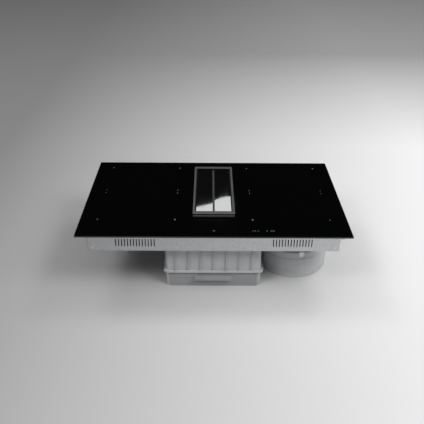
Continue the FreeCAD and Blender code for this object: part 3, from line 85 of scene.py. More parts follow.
# ---- Finishes ----
class Finish:
    """A procedural material on one Principled shader, in the coordinates of the piece."""

    def __init__(self, name, colour, roughness, metallic=0.0):
        self.material = bpy.data.materials.new(name)
        self.material.use_nodes = True
        self.tree = self.material.node_tree
        self.shader = self.tree.nodes["Principled BSDF"]
        self.colour = colour
        self.set("Base Color", (*colour, 1.0))
        self.set("Roughness", roughness)
        self.set("Metallic", metallic)
        self.place = self.node("ShaderNodeTexCoord").outputs["Object"]
        self.relief = None

    def set(self, socket, value):
        self.shader.inputs[socket].default_value = value

    def node(self, kind):
        return self.tree.nodes.new(kind)

    def link(self, start, end):
        self.tree.links.new(start, end)

    def scaled_place(self, scale):
        """The place on the piece times a scale: one number, or one each for X, Y and Z."""
        mapping = self.node("ShaderNodeMapping")
        mapping.inputs["Scale"].default_value = scale if isinstance(scale, tuple) else (scale, scale, scale)
        self.link(self.place, mapping.inputs["Vector"])
        return mapping.outputs["Vector"]

    def noise(self, scale, detail=3.0, distortion=0.0):
        """Cloudy values from 0 to 1; scale is the number of clouds per metre."""
        texture = self.node("ShaderNodeTexNoise")
        texture.inputs["Scale"].default_value = 1.0
        texture.inputs["Detail"].default_value = detail
        texture.inputs["Distortion"].default_value = distortion
        self.link(self.scaled_place(scale), texture.inputs["Vector"])
        return texture.outputs["Fac"]

    def cells(self, scale, output="Color", feature="F1"):
        """Cells with one random value each, or their distance; scale is the number of cells per metre."""
        texture = self.node("ShaderNodeTexVoronoi")
        texture.feature = feature
        texture.inputs["Scale"].default_value = 1.0
        self.link(self.scaled_place(scale), texture.inputs["Vector"])
        return texture.outputs[output]

    def stretch(self, value, low, high, from_low=0.0, from_high=1.0):
        """A value moved from one range to another and held at its ends."""
        ranged = self.node("ShaderNodeMapRange")
        ranged.inputs["From Min"].default_value = from_low
        ranged.inputs["From Max"].default_value = from_high
        ranged.inputs["To Min"].default_value = low
        ranged.inputs["To Max"].default_value = high
        self.link(value, ranged.inputs["Value"])
        return ranged.outputs["Result"]

    def math(self, operation, first, second=None):
        """One step of arithmetic on values or numbers."""
        step = self.node("ShaderNodeMath")
        step.operation = operation
        for socket, value in zip(step.inputs, (first, second)):
            if value is None:
                continue
            if isinstance(value, (int, float)):
                socket.default_value = value
            else:
                self.link(value, socket)
        return step.outputs["Value"]

    def mix_values(self, share, first, second):
        """First where share is 0, second where it is 1."""
        step = self.node("ShaderNodeMix")
        self.link(share, step.inputs["Factor"])
        self.link(first, step.inputs["A"])
        self.link(second, step.inputs["B"])
        return step.outputs["Result"]

    def axes(self):
        """The X, Y and Z of a place on the piece."""
        parts = self.node("ShaderNodeSeparateXYZ")
        self.link(self.place, parts.inputs["Vector"])
        return parts.outputs["X"], parts.outputs["Y"], parts.outputs["Z"]

    def vary_colour(self, value, low, high, from_low=0.3, from_high=0.7):
        """Base colour that goes from low to high times the finish's own colour."""
        self.blend_colours(self.stretch(value, 0.0, 1.0, from_low, from_high),
                           [part * low for part in self.colour], [part * high for part in self.colour])

    def blend_colours(self, share, first, second):
        """Base colour: first where share is 0, second where it is 1. None keeps the colour so far."""
        mix = self.node("ShaderNodeMix")
        mix.data_type = "RGBA"
        self.link(share, mix.inputs["Factor"])
        held = self.shader.inputs["Base Color"].links
        colour_inputs = [socket for socket in mix.inputs if socket.type == "RGBA"]
        for socket, colour in zip(colour_inputs, (first, second)):
            if colour is None:
                self.link(held[0].from_socket, socket)
            else:
                socket.default_value = (*colour, 1.0)
        result = [socket for socket in mix.outputs if socket.type == "RGBA"][0]
        self.link(result, self.shader.inputs["Base Color"])

    def vary_roughness(self, value, low, high, from_low=0.3, from_high=0.7):
        self.link(self.stretch(value, low, high, from_low, from_high), self.shader.inputs["Roughness"])

    def bump(self, value, depth):
        """Fine relief of a real depth in metres, on top of any relief before it."""
        step = self.node("ShaderNodeBump")
        step.inputs["Distance"].default_value = depth
        self.link(value, step.inputs["Height"])
        if self.relief is not None:
            self.link(self.relief, step.inputs["Normal"])
        self.relief = step.outputs["Normal"]
        self.link(self.relief, self.shader.inputs["Normal"])


def black_glass():
    """Polished ceramic glass: black, with the faintest cloudiness of a wiped surface."""
    finish = Finish("black_glass", (0.0008, 0.0009, 0.0011), 0.03)
    finish.set("IOR", 1.52)
    smear = finish.noise((9, 14, 9), detail=6.0, distortion=1.5)
    finish.vary_roughness(smear, 0.02, 0.07)
    finish.vary_colour(finish.noise(700, detail=1.0), 0.6, 1.5)
    return finish


def printed(name, colour):
    """Ceramic ink fired onto the glass."""
    finish = Finish(name, colour, 0.55)
    finish.vary_colour(finish.noise(2500, detail=2.0), 0.82, 1.12)
    return finish


def foam_rubber():
    """Black foam of a seal, with its pores."""
    finish = Finish("seal_rubber", (0.03, 0.03, 0.03), 0.85)
    pores = finish.cells(1400, output="Distance")
    finish.bump(pores, 0.2 * MM)
    finish.vary_colour(finish.noise(60), 0.8, 1.25)
    return finish


def brushed_streaks(finish, along, across=2400.0, length=22.0):
    """Fine parallel scratches along one axis, 0 for X, 1 for Y and 2 for Z."""
    scale = [across, across, across]
    scale[along] = length
    return finish.noise(tuple(scale), detail=4.0)


def brushed_metal(name, colour, roughness, along, spread=0.08, depth=0.01 * MM):
    """Metal brushed along one axis; spread is how far its roughness goes up and down."""
    finish = Finish(name, colour, roughness, metallic=1.0)
    streaks = brushed_streaks(finish, along)
    finish.vary_colour(streaks, 0.88, 1.1)
    finish.vary_roughness(streaks, roughness - spread, roughness + spread)
    finish.bump(streaks, depth)
    return finish


def vent_steel():
    """Dark brushed stainless steel: side bars brushed lengthwise, end bars crosswise.

    Below the top of the trim, its edge and the top of the skirt are painted near-black as shade under the
    trim, and the skirt is bead-blasted.
    """
    end_bar_width = 16 * MM
    steel_edge_height = 0.3 * MM
    trim_to_blasted = 2.9 * MM
    steel_metallic = 0.85
    blasted_metallic = 0.2
    finish = Finish("vent_steel", (0.235, 0.235, 0.24), 0.34, steel_metallic)
    across_bars = brushed_streaks(finish, 0)
    along_bars = brushed_streaks(finish, 1)
    _, y, z = finish.axes()
    vent_middle = (trim_low[1] + trim_high[1]) / 2
    bay_reach = (trim_high[1] - trim_low[1]) / 2 - end_bar_width
    from_middle = finish.math("ABSOLUTE", finish.math("SUBTRACT", y, vent_middle))
    end_bars = finish.math("GREATER_THAN", from_middle, bay_reach)
    streaks = finish.mix_values(end_bars, along_bars, across_bars)
    finish.vary_colour(streaks, 0.86, 1.12)
    painted_shade_under_trim = finish.math("LESS_THAN", z, trim_high[2] - steel_edge_height)
    on_skirt = finish.math("LESS_THAN", z, trim_low[2] - trim_to_blasted)
    # painted shade: near-black on the trim's edge and the skirt's top, where the trim shades them
    finish.blend_colours(painted_shade_under_trim, None, (0.006, 0.006, 0.006))
    finish.blend_colours(on_skirt, None, (0.15, 0.15, 0.15))
    finish.link(finish.stretch(on_skirt, steel_metallic, blasted_metallic), finish.shader.inputs["Metallic"])
    finish.vary_roughness(streaks, 0.27, 0.42)
    finish.bump(streaks, 0.012 * MM)
    finish.bump(finish.noise((14, 6, 14)), 0.02 * MM)
    return finish


def mirror_steel():
    """Mirror polish with the slow waviness of bent sheet and a few wiping marks."""
    finish = Finish("mirror_steel", (0.80, 0.81, 0.82), 0.025, metallic=1.0)
    wiping = finish.noise((120, 8, 120), detail=5.0, distortion=0.6)
    finish.vary_roughness(wiping, 0.015, 0.05)
    finish.bump(finish.noise((11, 5, 11), detail=1.0), 0.03 * MM)
    return finish


def moulded_plastic(name, colour, roughness, grain=1600.0, depth=0.05 * MM):
    """Spark-eroded plastic: a fine grain, slow colour drift and a little uneven gloss."""
    finish = Finish(name, colour, roughness)
    fine = finish.noise(grain, detail=2.0)
    slow = finish.noise(18, detail=4.0)
    finish.vary_colour(slow, 0.93, 1.06)
    finish.vary_roughness(slow, roughness - 0.07, roughness + 0.07)
    finish.bump(fine, depth)
    return finish


def galvanised_sheet():
    """Zinc-coated steel: crystals of about 8 mm, each with its own brightness."""
    finish = Finish("zinc_sheet", (0.56, 0.57, 0.58), 0.42, metallic=1.0)
    crystals = finish.cells(130)
    finish.vary_colour(crystals, 0.88, 1.06, 0.0, 1.0)
    finish.vary_roughness(crystals, 0.34, 0.48, 0.0, 1.0)
    finish.bump(finish.noise(900, detail=3.0), 0.015 * MM)
    return finish


def rolled_aluminium(name, colour, roughness, along):
    """Aluminium sheet with its rolling lines and a slight unevenness."""
    finish = brushed_metal(name, colour, roughness, along, spread=0.06)
    finish.bump(finish.noise(40), 0.03 * MM)
    return finish


def coil_wire():
    """Enamelled wire: the turns follow the coil's oval, 3 mm apart."""
    turn_pitch = 3.0 * MM
    finish = Finish("coil_wire", (0.60, 0.31, 0.12), 0.32, metallic=0.7)
    x, y, _ = finish.axes()
    middle_x = (coil_low[0] + coil_high[0]) / 2
    rear_y = (coil_low[1] + coil_high[1]) / 2
    front_y = (front_coil_low[1] + front_coil_high[1]) / 2
    straight_half = (coil_high[0] - coil_low[0]) / 2 - (coil_high[1] - coil_low[1]) / 2
    from_x = finish.math("ABSOLUTE", finish.math("SUBTRACT", finish.math("ABSOLUTE", x), middle_x))
    past_straight = finish.math("MAXIMUM", finish.math("SUBTRACT", from_x, straight_half), 0.0)
    between_y = finish.math("ABSOLUTE", finish.math("SUBTRACT", y, (rear_y + front_y) / 2))
    from_y = finish.math("SUBTRACT", between_y, (rear_y - front_y) / 2)
    squares = finish.math("ADD", finish.math("MULTIPLY", past_straight, past_straight),
                          finish.math("MULTIPLY", from_y, from_y))
    radius = finish.math("SQRT", squares)
    turns = finish.math("SINE", finish.math("MULTIPLY", radius, 2 * math.pi / turn_pitch))
    finish.vary_colour(turns, 0.45, 1.15, -1.0, 1.0)
    finish.bump(turns, 0.6 * MM)
    finish.vary_roughness(finish.noise(300), 0.24, 0.4)
    return finish


def circuit_board():
    """Green solder resist with tracks; what stands on the board is dark."""
    board_thickness = 1.6 * MM
    parts_start = board_low[2] + board_thickness + 0.1 * MM
    parts_end = -10 * MM
    finish = Finish("circuit_board", (0.03, 0.16, 0.06), 0.35)
    tracks = finish.cells((140, 260, 140), output="Distance", feature="DISTANCE_TO_EDGE")
    finish.vary_colour(tracks, 1.7, 0.9, 0.0, 0.12)
    finish.bump(tracks, 0.08 * MM)
    _, _, z = finish.axes()
    above_board = finish.math("GREATER_THAN", z, parts_start)
    below_glass = finish.math("LESS_THAN", z, parts_end)
    finish.blend_colours(finish.math("MULTIPLY", above_board, below_glass), None, (0.035, 0.035, 0.05))
    finish.vary_roughness(finish.noise(90), 0.25, 0.45)
    return finish


def pressed_mica():
    """Mica sheet: flakes of 2 to 3 mm, each with its own brightness."""
    finish = Finish("mica", (0.62, 0.56, 0.44), 0.6)
    flakes = finish.cells(420)
    finish.vary_colour(flakes, 0.8, 1.15, 0.0, 1.0)
    finish.bump(flakes, 0.03 * MM)
    return finish


def pitted_ceramic(name, colour, roughness):
    """Fired ceramic or ferrite: speckled and slightly rough."""
    finish = Finish(name, colour, roughness)
    finish.vary_colour(finish.noise(500, detail=4.0), 0.85, 1.1)
    finish.bump(finish.noise(1200), 0.06 * MM)
    return finish


def sintered_bronze():
    """Bronze of oil-holding bushes, with its open pores."""
    finish = Finish("bush_bronze", (0.52, 0.34, 0.15), 0.45, metallic=1.0)
    pores = finish.noise(1500, detail=2.0)
    finish.vary_colour(pores, 0.7, 1.1)
    finish.bump(pores, 0.05 * MM)
    return finish


def coated_metal(name, colour, roughness):
    """Powder coat with its fine orange peel."""
    finish = Finish(name, colour, roughness)
    peel = finish.noise(350, detail=2.0)
    finish.vary_colour(finish.noise(25), 0.9, 1.1)
    finish.vary_roughness(peel, roughness - 0.06, roughness + 0.06)
    finish.bump(peel, 0.08 * MM)
    return finish


finishes = {
    "black_glass": black_glass(),
    "seal_rubber": foam_rubber(),
    "vent_steel": vent_steel(),
    "vent_frame_plastic": moulded_plastic("vent_frame_plastic", (0.012, 0.012, 0.013), 0.6),
    "mirror_steel": mirror_steel(),
    "shaft_steel": brushed_metal("shaft_steel", (0.55, 0.55, 0.56), 0.28, along=1),
    "bush_bronze": sintered_bronze(),
    "gear_plastic": moulded_plastic("gear_plastic", (0.78, 0.76, 0.70), 0.38),
    "motor_case": coated_metal("motor_case", (0.20, 0.20, 0.21), 0.4),
    "duct_plastic": moulded_plastic("duct_plastic", (0.46, 0.47, 0.48), 0.5, grain=900.0, depth=0.1 * MM),
    "tank_plastic": moulded_plastic("tank_plastic", (0.30, 0.31, 0.32), 0.42),
    "filter_metal": rolled_aluminium("filter_metal", (0.68, 0.68, 0.69), 0.35, along=1),
    "wheel_plastic": moulded_plastic("wheel_plastic", (0.06, 0.06, 0.065), 0.45),
    "zinc_sheet": galvanised_sheet(),
    "aluminium_sheet": rolled_aluminium("aluminium_sheet", (0.75, 0.75, 0.76), 0.3, along=0),
    "coil_wire": coil_wire(),
    "former_plastic": moulded_plastic("former_plastic", (0.30, 0.28, 0.25), 0.55),
    "ferrite": pitted_ceramic("ferrite", (0.06, 0.06, 0.065), 0.6),
    "mica": pressed_mica(),
    "sensor_ceramic": pitted_ceramic("sensor_ceramic", (0.80, 0.79, 0.75), 0.4),
    "circuit_board": circuit_board(),
    "heat_sink_metal": brushed_metal("heat_sink_metal", (0.60, 0.60, 0.61), 0.36, along=1),
    "cooler_plastic": moulded_plastic("cooler_plastic", (0.04, 0.04, 0.04), 0.45),
    "terminal_plastic": moulded_plastic("terminal_plastic", (0.15, 0.15, 0.16), 0.5),
    "gland_plastic": moulded_plastic("gland_plastic", (0.26, 0.26, 0.27), 0.45),
    "screw_steel": brushed_metal("screw_steel", (0.62, 0.62, 0.60), 0.3, along=0),
}


def dress_nodes():
    """Each node of the frame gets the finish of its slot."""
    for row in frame["record"]["subparts"]:
        node = frame["nodes"][row["node"]]
        node.data.materials.clear()
        node.data.materials.append(finishes[row["material_slot"]].material)


# ---- Small building blocks ----
def add_block(mesh, low, high, bevel=0.0):
    """A box between two corners, with rounded edges where a bevel is given."""
    size = [high[i] - low[i] for i in range(3)]
    middle = [(high[i] + low[i]) / 2 for i in range(3)]
    place = Matrix.Translation(middle) @ Matrix.Diagonal((*size, 1.0))
    made = bmesh.ops.create_cube(mesh, size=1.0, matrix=place)
    if bevel > 0:
        edges = list({edge for corner in made["verts"] for edge in corner.link_edges})
        bmesh.ops.bevel(mesh, geom=edges, offset=bevel, segments=3, profile=0.5, affect="EDGES")


def add_lathe(mesh, profile, place, segments=32):
    """A turned form: profile is (radius, height) from bottom to top, and place puts it in the object."""
    rings = []
    for radius, height in profile:
        if radius == 0:
            rings.append([mesh.verts.new(place @ Vector((0, 0, height)))])
            continue
        ring = []
        for step in range(segments):
            angle = 2 * math.pi * step / segments
            point = Vector((radius * math.cos(angle), radius * math.sin(angle), height))
            ring.append(mesh.verts.new(place @ point))
        rings.append(ring)
    for lower, upper in zip(rings[:-1], rings[1:]):
        for step in range(segments):
            after = (step + 1) % segments
            if len(lower) == 1:
                mesh.faces.new((lower[0], upper[after], upper[step]))
            elif len(upper) == 1:
                mesh.faces.new((lower[step], lower[after], upper[0]))
            else:
                mesh.faces.new((lower[step], lower[after], upper[after], upper[step]))


def soften(mesh, sharp_degrees=35.0):
    """Smooth shading, with the edges kept that turn by more than an angle."""
    bmesh.ops.recalc_face_normals(mesh, faces=mesh.faces)
    for face in mesh.faces:
        face.smooth = True
    for edge in mesh.edges:
        edge.smooth = edge.is_manifold and edge.calc_face_angle() < math.radians(sharp_degrees)


def mesh_object(name, mesh):
    """A bmesh as an object of the scene."""
    data = bpy.data.meshes.new(name)
    mesh.to_mesh(data)
    mesh.free()
    made = bpy.data.objects.new(name, data)
    bpy.context.scene.collection.objects.link(made)
    return made


def move_new(mesh, start, place):
    """Puts the corners that were made since a count in their place."""
    mesh.verts.ensure_lookup_table()
    for corner in mesh.verts[start:]:
        corner.co = place @ corner.co


def stamp(mesh, template, place):
    """Adds a copy of a finished mesh in its place."""
    start = len(mesh.verts)
    mesh.from_mesh(template)
    move_new(mesh, start, place)


def new_piece(name, mesh, slot, body=ROOT, material=None):
    """An object from a bmesh, which rides on a body and takes the finish of a slot."""
    soften(mesh)
    piece = mesh_object(name, mesh)
    piece.data.materials.append(material or finishes[slot].material)
    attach(piece, body)
    return piece


def solids_of(node):
    """The corner points of each separate solid in a node of the frame."""
    mesh = bmesh.new()
    mesh.from_mesh(frame["nodes"][node].data)
    bmesh.ops.remove_doubles(mesh, verts=mesh.verts, dist=SAME_PLACE)
    left = set(mesh.verts)
    groups = []
    while left:
        front = [left.pop()]
        group = []
        while front:
            corner = front.pop()
            group.append(corner.co.copy())
            for edge in corner.link_edges:
                other = edge.other_vert(corner)
                if other in left:
                    left.remove(other)
                    front.append(other)
        groups.append(group)
    mesh.free()
    return sorted(groups, key=lambda group: tuple(round(part, 4) for part in group_middle(group)))


def group_middle(group):
    """The middle of the box round some points."""
    low = [min(point[i] for point in group) for i in range(3)]
    high = [max(point[i] for point in group) for i in range(3)]
    return [(low[i] + high[i]) / 2 for i in range(3)]


# ---- Print on the glass ----
PRINT_THICKNESS = 0.05 * MM
ZONE_INNER_X = 122 * MM
ZONE_OUTER_X = 365 * MM
# Rows of zone marks, front to rear: place, then size and stroke of the inner and of the outer marks.
ZONE_MARK_ROWS = (
    (-159 * MM, (7.0 * MM, 1.3 * MM), (4.2 * MM, 0.85 * MM)),
    (17 * MM, (4.2 * MM, 0.8 * MM), (2.9 * MM, 0.6 * MM)),
    (38 * MM, (4.2 * MM, 0.8 * MM), (2.9 * MM, 0.6 * MM)),
    (212 * MM, (5.5 * MM, 1.05 * MM), (5.0 * MM, 1.0 * MM)),
)
KEY_ROW_Y = -225 * MM
KEY_SIZE = 5 * MM
MINUS_X = 118.5 * MM
PLUS_X = 125.5 * MM
LOCK_X = 135.5 * MM
PAUSE_X = 161.0 * MM
PAUSE_PITCH = 2.6 * MM
DIGIT_X = 175.2 * MM
DIGIT_PITCH = 6.8 * MM


def print_bar(mesh, x, y, width, depth):
    """A flat rectangle of ink, by its middle."""
    add_block(mesh, (x - width / 2, y - depth / 2, glass_surface),
              (x + width / 2, y + depth / 2, glass_surface + PRINT_THICKNESS))


def print_cross(mesh, x, y, size, stroke):
    """A cross of ink: one long bar and the two halves of the other, which don't overlap it."""
    half_arm = (size - stroke) / 4 + stroke / 2
    print_bar(mesh, x, y, size, stroke)
    for side in (-1, 1):
        print_bar(mesh, x, y + side * half_arm, stroke, (size - stroke) / 2)


def print_ring(mesh, x, y, radius, stroke, start=0.0, end=360.0, steps=28):
    """A flat arc of ink, from a start to an end in degrees."""
    closed = end - start >= 360.0
    count = steps if closed else steps + 1
    corners = []
    for step in range(count):
        angle = math.radians(start + (end - start) * step / steps)
        outward = (math.cos(angle), math.sin(angle))
        column = []
        for reach in (radius - stroke / 2, radius + stroke / 2):
            for level in (glass_surface, glass_surface + PRINT_THICKNESS):
                column.append(mesh.verts.new((x + reach * outward[0], y + reach * outward[1], level)))
        corners.append(column)
    after = corners[1:] + (corners[:1] if closed else [])
    for here, there in zip(corners, after):
        for a, b in ((0, 1), (1, 3), (3, 2), (2, 0)):
            mesh.faces.new((here[a], here[b], there[b], there[a]))
    if not closed:
        for column in (corners[0], corners[-1]):
            mesh.faces.new((column[0], column[1], column[3], column[2]))


def make_zone_marks():
    """Small crosses at the corners of the four zones; those nearest to the cook are the largest."""
    mesh = bmesh.new()
    for y, inner, outer in ZONE_MARK_ROWS:
        for x, (size, stroke) in ((ZONE_INNER_X, inner), (ZONE_OUTER_X, outer)):
            for side in (-1, 1):
                print_cross(mesh, side * x, y, size, stroke)
    ink = printed("mark_ink", (0.27, 0.27, 0.27))
    new_piece("zone_marks", mesh, "black_glass", material=ink.material)


def make_touch_keys():
    """The printed keys: power, minus and plus, a lock dot, pause and a two-digit display."""
    power_radius = 2.6 * MM
    power_stroke = 1.1 * MM
    power_ring = (120.0, 420.0)  # start and end in degrees, open at the rear
    power_bar_rise = 0.8 * power_radius
    power_bar_length = 1.5 * power_radius
    minus_stroke = 1.5 * MM
    plus_stroke = 1.4 * MM
    lock_radius = 1.9 * MM
    lock_stroke = 0.7 * MM
    pause_stroke = 1.3 * MM
    mesh = bmesh.new()
    print_ring(mesh, CENTRE_LINE_X, KEY_ROW_Y, power_radius, power_stroke, *power_ring)
    print_bar(mesh, CENTRE_LINE_X, KEY_ROW_Y + power_bar_rise, power_stroke, power_bar_length)
    print_bar(mesh, MINUS_X, KEY_ROW_Y, KEY_SIZE, minus_stroke)
    print_cross(mesh, PLUS_X, KEY_ROW_Y, KEY_SIZE, plus_stroke)
    print_ring(mesh, LOCK_X, KEY_ROW_Y, lock_radius, lock_stroke)
    for bar in (0, 1):
        print_bar(mesh, PAUSE_X + bar * PAUSE_PITCH, KEY_ROW_Y, pause_stroke, KEY_SIZE)
    for digit in (0, 1):
        print_digit(mesh, DIGIT_X + digit * DIGIT_PITCH, KEY_ROW_Y)
    ink = printed("key_ink", (0.11, 0.11, 0.11))
    new_piece("touch_keys", mesh, "black_glass", material=ink.material)


def print_digit(mesh, x, y):
    """A nought made of bars, as a display shows it at rest."""
    half_width = 2.1 * MM
    half_height = 2.7 * MM
    bar = 0.9 * MM
    for side in (-1, 1):
        print_bar(mesh, x + side * half_width, y, bar, 2 * half_height - bar)
        print_bar(mesh, x, y + side * half_height, 2 * half_width, bar)


# ---- Screws ----
RECESS_DEPTH = 1.3 * MM
RECESS_REACH_SHARE = 0.62  # of the head's radius
RECESS_HALF_WIDTH_SHARE = 0.13
LARGE_SHANK_RADIUS = 2.0 * MM


def pan_screw_template(head_radius, head_height, shank_radius, shank_length):
    """A pan-head screw with a cross recess; its seat is at z = 0 and its head points up."""
    profile = [(0, -shank_length), (shank_radius * 0.5, -shank_length)]
    profile.append((shank_radius, -shank_length + shank_radius * 0.6))
    profile += thread_profile(shank_radius, shank_length - shank_radius)
    profile += [(shank_radius, 0), (head_radius, 0), (head_radius, head_height * 0.45)]
    profile += [(head_radius * 0.93, head_height * 0.75), (head_radius * 0.72, head_height * 0.95)]
    profile += [(head_radius * 0.45, head_height), (0, head_height)]
    mesh = bmesh.new()
    add_lathe(mesh, profile, Matrix.Identity(4), segments=24)
    bmesh.ops.recalc_face_normals(mesh, faces=mesh.faces)
    body = mesh_object("screw_body", mesh)
    arm = RECESS_REACH_SHARE * head_radius
    slot_half = RECESS_HALF_WIDTH_SHARE * head_radius
    recess_floor = head_height - RECESS_DEPTH
    above_head = head_height + 1 * MM
    slot_mesh = bmesh.new()
    add_block(slot_mesh, (-arm, -slot_half, recess_floor), (arm, slot_half, above_head))
    cutter = mesh_object("screw_cutter", slot_mesh)
    cross_cutter = bpy.data.objects.new("screw_cross_cutter", cutter.data)
    cross_cutter.rotation_euler = (0, 0, math.pi / 2)
    bpy.context.scene.collection.objects.link(cross_cutter)
    for tool in (cutter, cross_cutter):
        cut = body.modifiers.new("recess", "BOOLEAN")
        cut.operation = "DIFFERENCE"
        cut.solver = "EXACT"
        cut.object = tool
    bpy.context.view_layer.update()
    result = bpy.data.meshes.new_from_object(body.evaluated_get(bpy.context.evaluated_depsgraph_get()))
    for helper in (body, cutter, cross_cutter):
        bpy.data.objects.remove(helper)
    clean = bmesh.new()
    clean.from_mesh(result)
    bmesh.ops.dissolve_degenerate(clean, dist=SAME_PLACE, edges=clean.edges)
    clean.to_mesh(result)
    clean.free()
    return result


def small_screw_template():
    """The short screw that holds the thin covers."""
    return pan_screw_template(head_radius=3.2 * MM, head_height=1.9 * MM, shank_radius=1.5 * MM,
                              shank_length=2.0 * MM)


def thread_profile(radius, length, pitch=0.9 * MM):
    """Ridges along a shank, from its point towards its head."""
    threaded_share = 0.7
    root = radius * 0.84
    profile = []
    for turn in range(int(length * threaded_share / pitch)):
        base = -length + turn * pitch
        profile += [(root, base + pitch * 0.15), (radius, base + pitch * 0.5), (root, base + pitch * 0.85)]
    return profile


def make_screws(name, node, axis):
    """Detailed screws in place of a node of plain ones; axis is the shanks' axis, 0 for X or 2 for Z."""
    line = Vector([float(i == axis) for i in range(3)])
    turn_step = 0.7
    head_share = 0.9
    mesh = bmesh.new()
    templates = {}
    for points in solids_of(node):
        low = min(point[axis] for point in points)
        high = max(point[axis] for point in points)
        middle = Vector(group_middle(points))
        from_line = [(point - middle).cross(line).length for point in points]
        head_radius = max(from_line)
        head = [point[axis] for point, reach in zip(points, from_line) if reach > head_share * head_radius]
        head_up = min(head) - low > high - max(head)
        seat = min(head) if head_up else max(head)
        head_height = max(head) - min(head)
        shank_length = (seat - low) if head_up else (high - seat)
        key = (round(head_height, 5), round(shank_length, 5))
        if key not in templates:
            templates[key] = pan_screw_template(head_radius, head_height, LARGE_SHANK_RADIUS, shank_length)
        direction = line if head_up else -line
        middle[axis] = seat
        spin = Matrix.Rotation(turn_step * len(mesh.verts), 4, "Z")
        upright = direction.to_track_quat("Z", "Y").to_matrix().to_4x4()
        stamp(mesh, templates[key], Matrix.Translation(middle) @ upright @ spin)
    screws = new_piece(name, mesh, "screw_steel")
    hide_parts(node)


# ---- Sheet metal and mouldings below the glass ----
def add_bead(mesh, start, end, width, height):
    """A half-round stiffening bead pressed down out of a level sheet, with round ends."""
    across_steps = 8
    end_steps = 6
    least_share = 0.02
    along = (end - start).normalized()
    side = Vector((-along.y, along.x, 0))
    ramp = [math.pi / 2 * step / end_steps for step in range(end_steps + 1)]
    stations = []
    for angle in ramp[::-1]:
        stations.append((start + along * (width / 2) * (1 - math.sin(angle)), math.cos(angle)))
    for angle in ramp:
        stations.append((end - along * (width / 2) * (1 - math.sin(angle)), math.cos(angle)))
    rows = []
    for middle, share in stations:
        row = []
        reach = max(share, least_share)
        for step in range(across_steps + 1):
            angle = math.pi * step / across_steps
            point = middle + side * (math.cos(angle) * width / 2 * reach)
            point.z -= math.sin(angle) * height * reach
            row.append(mesh.verts.new(point))
        rows.append(row)
    for here, there in zip(rows[:-1], rows[1:]):
        for step in range(across_steps):
            mesh.faces.new((here[step], here[step + 1], there[step + 1], there[step]))
        mesh.faces.new((here[0], there[0], there[across_steps], here[across_steps]))
    for row in (rows[0], rows[-1]):
        mesh.faces.new(row)


def make_tray_beads():
    """Stiffening beads in the free parts of the chassis floor."""
    bead_width = 9 * MM
    bead_height = 1.4 * MM
    # Each field of beads, in mm: its left and right ends, its first and last rows and their pitch.
    fields = ((-360, -180, -200, 115, 45), (180, 360, -215, -165, 25))
    mesh = bmesh.new()
    for left, right, first_row, last_row, pitch in fields:
        for row in range(first_row, last_row + 1, pitch):
            start = Vector((left * MM, row * MM, tray_low[2]))
            end = Vector((right * MM, row * MM, tray_low[2]))
            add_bead(mesh, start, end, bead_width, bead_height)
    new_piece("tray_beads", mesh, "zinc_sheet")


def make_box_ribs():
    """Upright ribs on the free walls of both halves of the suction box."""
    rim_reach = 8 * MM
    rim_thickness = 3 * MM
    rib_reach = 5 * MM
    rib_thickness = 2.4 * MM
    pitch_x = 40 * MM
    pitch_y = 45 * MM
    beside_x = 3  # ribs on either side of a wall's middle rib
    beside_y = 4
    top_gap = 9 * MM
    foot_gap = 4 * MM
    left_wall_x = upper_low[0] + rim_reach
    rear_wall_y = upper_high[1] - rim_reach
    # The upper casing has ribs in front and behind; the tank stands before the lower one.
    spans = ((upper_low[2] + rim_thickness, upper_high[2] - top_gap, (-1, 1)),
             (lower_low[2] + foot_gap, lower_high[2] - rim_thickness, (1,)))
    mesh = bmesh.new()
    for low, high, sides in spans:
        for side in sides:
            for step in range(-beside_x, beside_x + 1):
                foot = (step * pitch_x, side * rear_wall_y, low)
                add_rib(mesh, foot, (0, side), rib_thickness, rib_reach, high - low)
        for step in range(-beside_y, beside_y + 1):
            foot = (left_wall_x, step * pitch_y, low)
            add_rib(mesh, foot, (-1, 0), rib_thickness, rib_reach, high - low)
    new_piece("box_ribs", mesh, "duct_plastic")


def add_rib(mesh, foot, outward, thickness, reach, height):
    """An upright rib on a wall; it tapers to nothing over its upper fifth."""
    sunk = 0.5 * MM
    straight_share = 0.8
    outer_share = 0.8  # thickness at the outer edge
    outward = Vector((outward[0], outward[1], 0))
    side = Vector((-outward.y, outward.x, 0))
    foot = Vector(foot)
    outline = [(-sunk, 0), (reach, 0), (reach, height * straight_share), (0, height), (-sunk, height)]
    faces = []
    for direction in (-1, 1):
        face = []
        for out, up in outline:
            narrow = outer_share if out > 0 else 1.0
            shift = side * direction * thickness / 2 * narrow
            face.append(mesh.verts.new(foot + outward * out + Vector((0, 0, up)) + shift))
        faces.append(face)
    mesh.faces.new(faces[0])
    mesh.faces.new(faces[1][::-1])
    for step in range(len(outline)):
        after = (step + 1) % len(outline)
        mesh.faces.new((faces[0][step], faces[0][after], faces[1][after], faces[1][step]))


def make_box_clips():
    """Spring clips that hold the two halves of the suction box together at the rim."""
    clip_rows = (-165 * MM, -60 * MM, 60 * MM, 165 * MM)
    half_length = 9 * MM
    half_height = 9 * MM
    back_thickness = 1.4 * MM
    jaw_thickness = 1.2 * MM
    jaw_gap = 3.2 * MM
    jaw_reach = 7 * MM
    rim_x = upper_low[0]
    split = upper_low[2]
    mesh = bmesh.new()
    for row in clip_rows:
        front = row - half_length
        rear = row + half_length
        add_block(mesh, (rim_x - back_thickness, front, split - half_height),
                  (rim_x, rear, split + half_height), bevel=0.4 * MM)
        for side in (-1, 1):
            bottom, top = sorted((split + side * jaw_gap, split + side * (jaw_gap + jaw_thickness)))
            add_block(mesh, (rim_x - jaw_thickness, front, bottom), (rim_x + jaw_reach, rear, top),
                      bevel=0.3 * MM)
    new_piece("box_clips", mesh, "zinc_sheet")


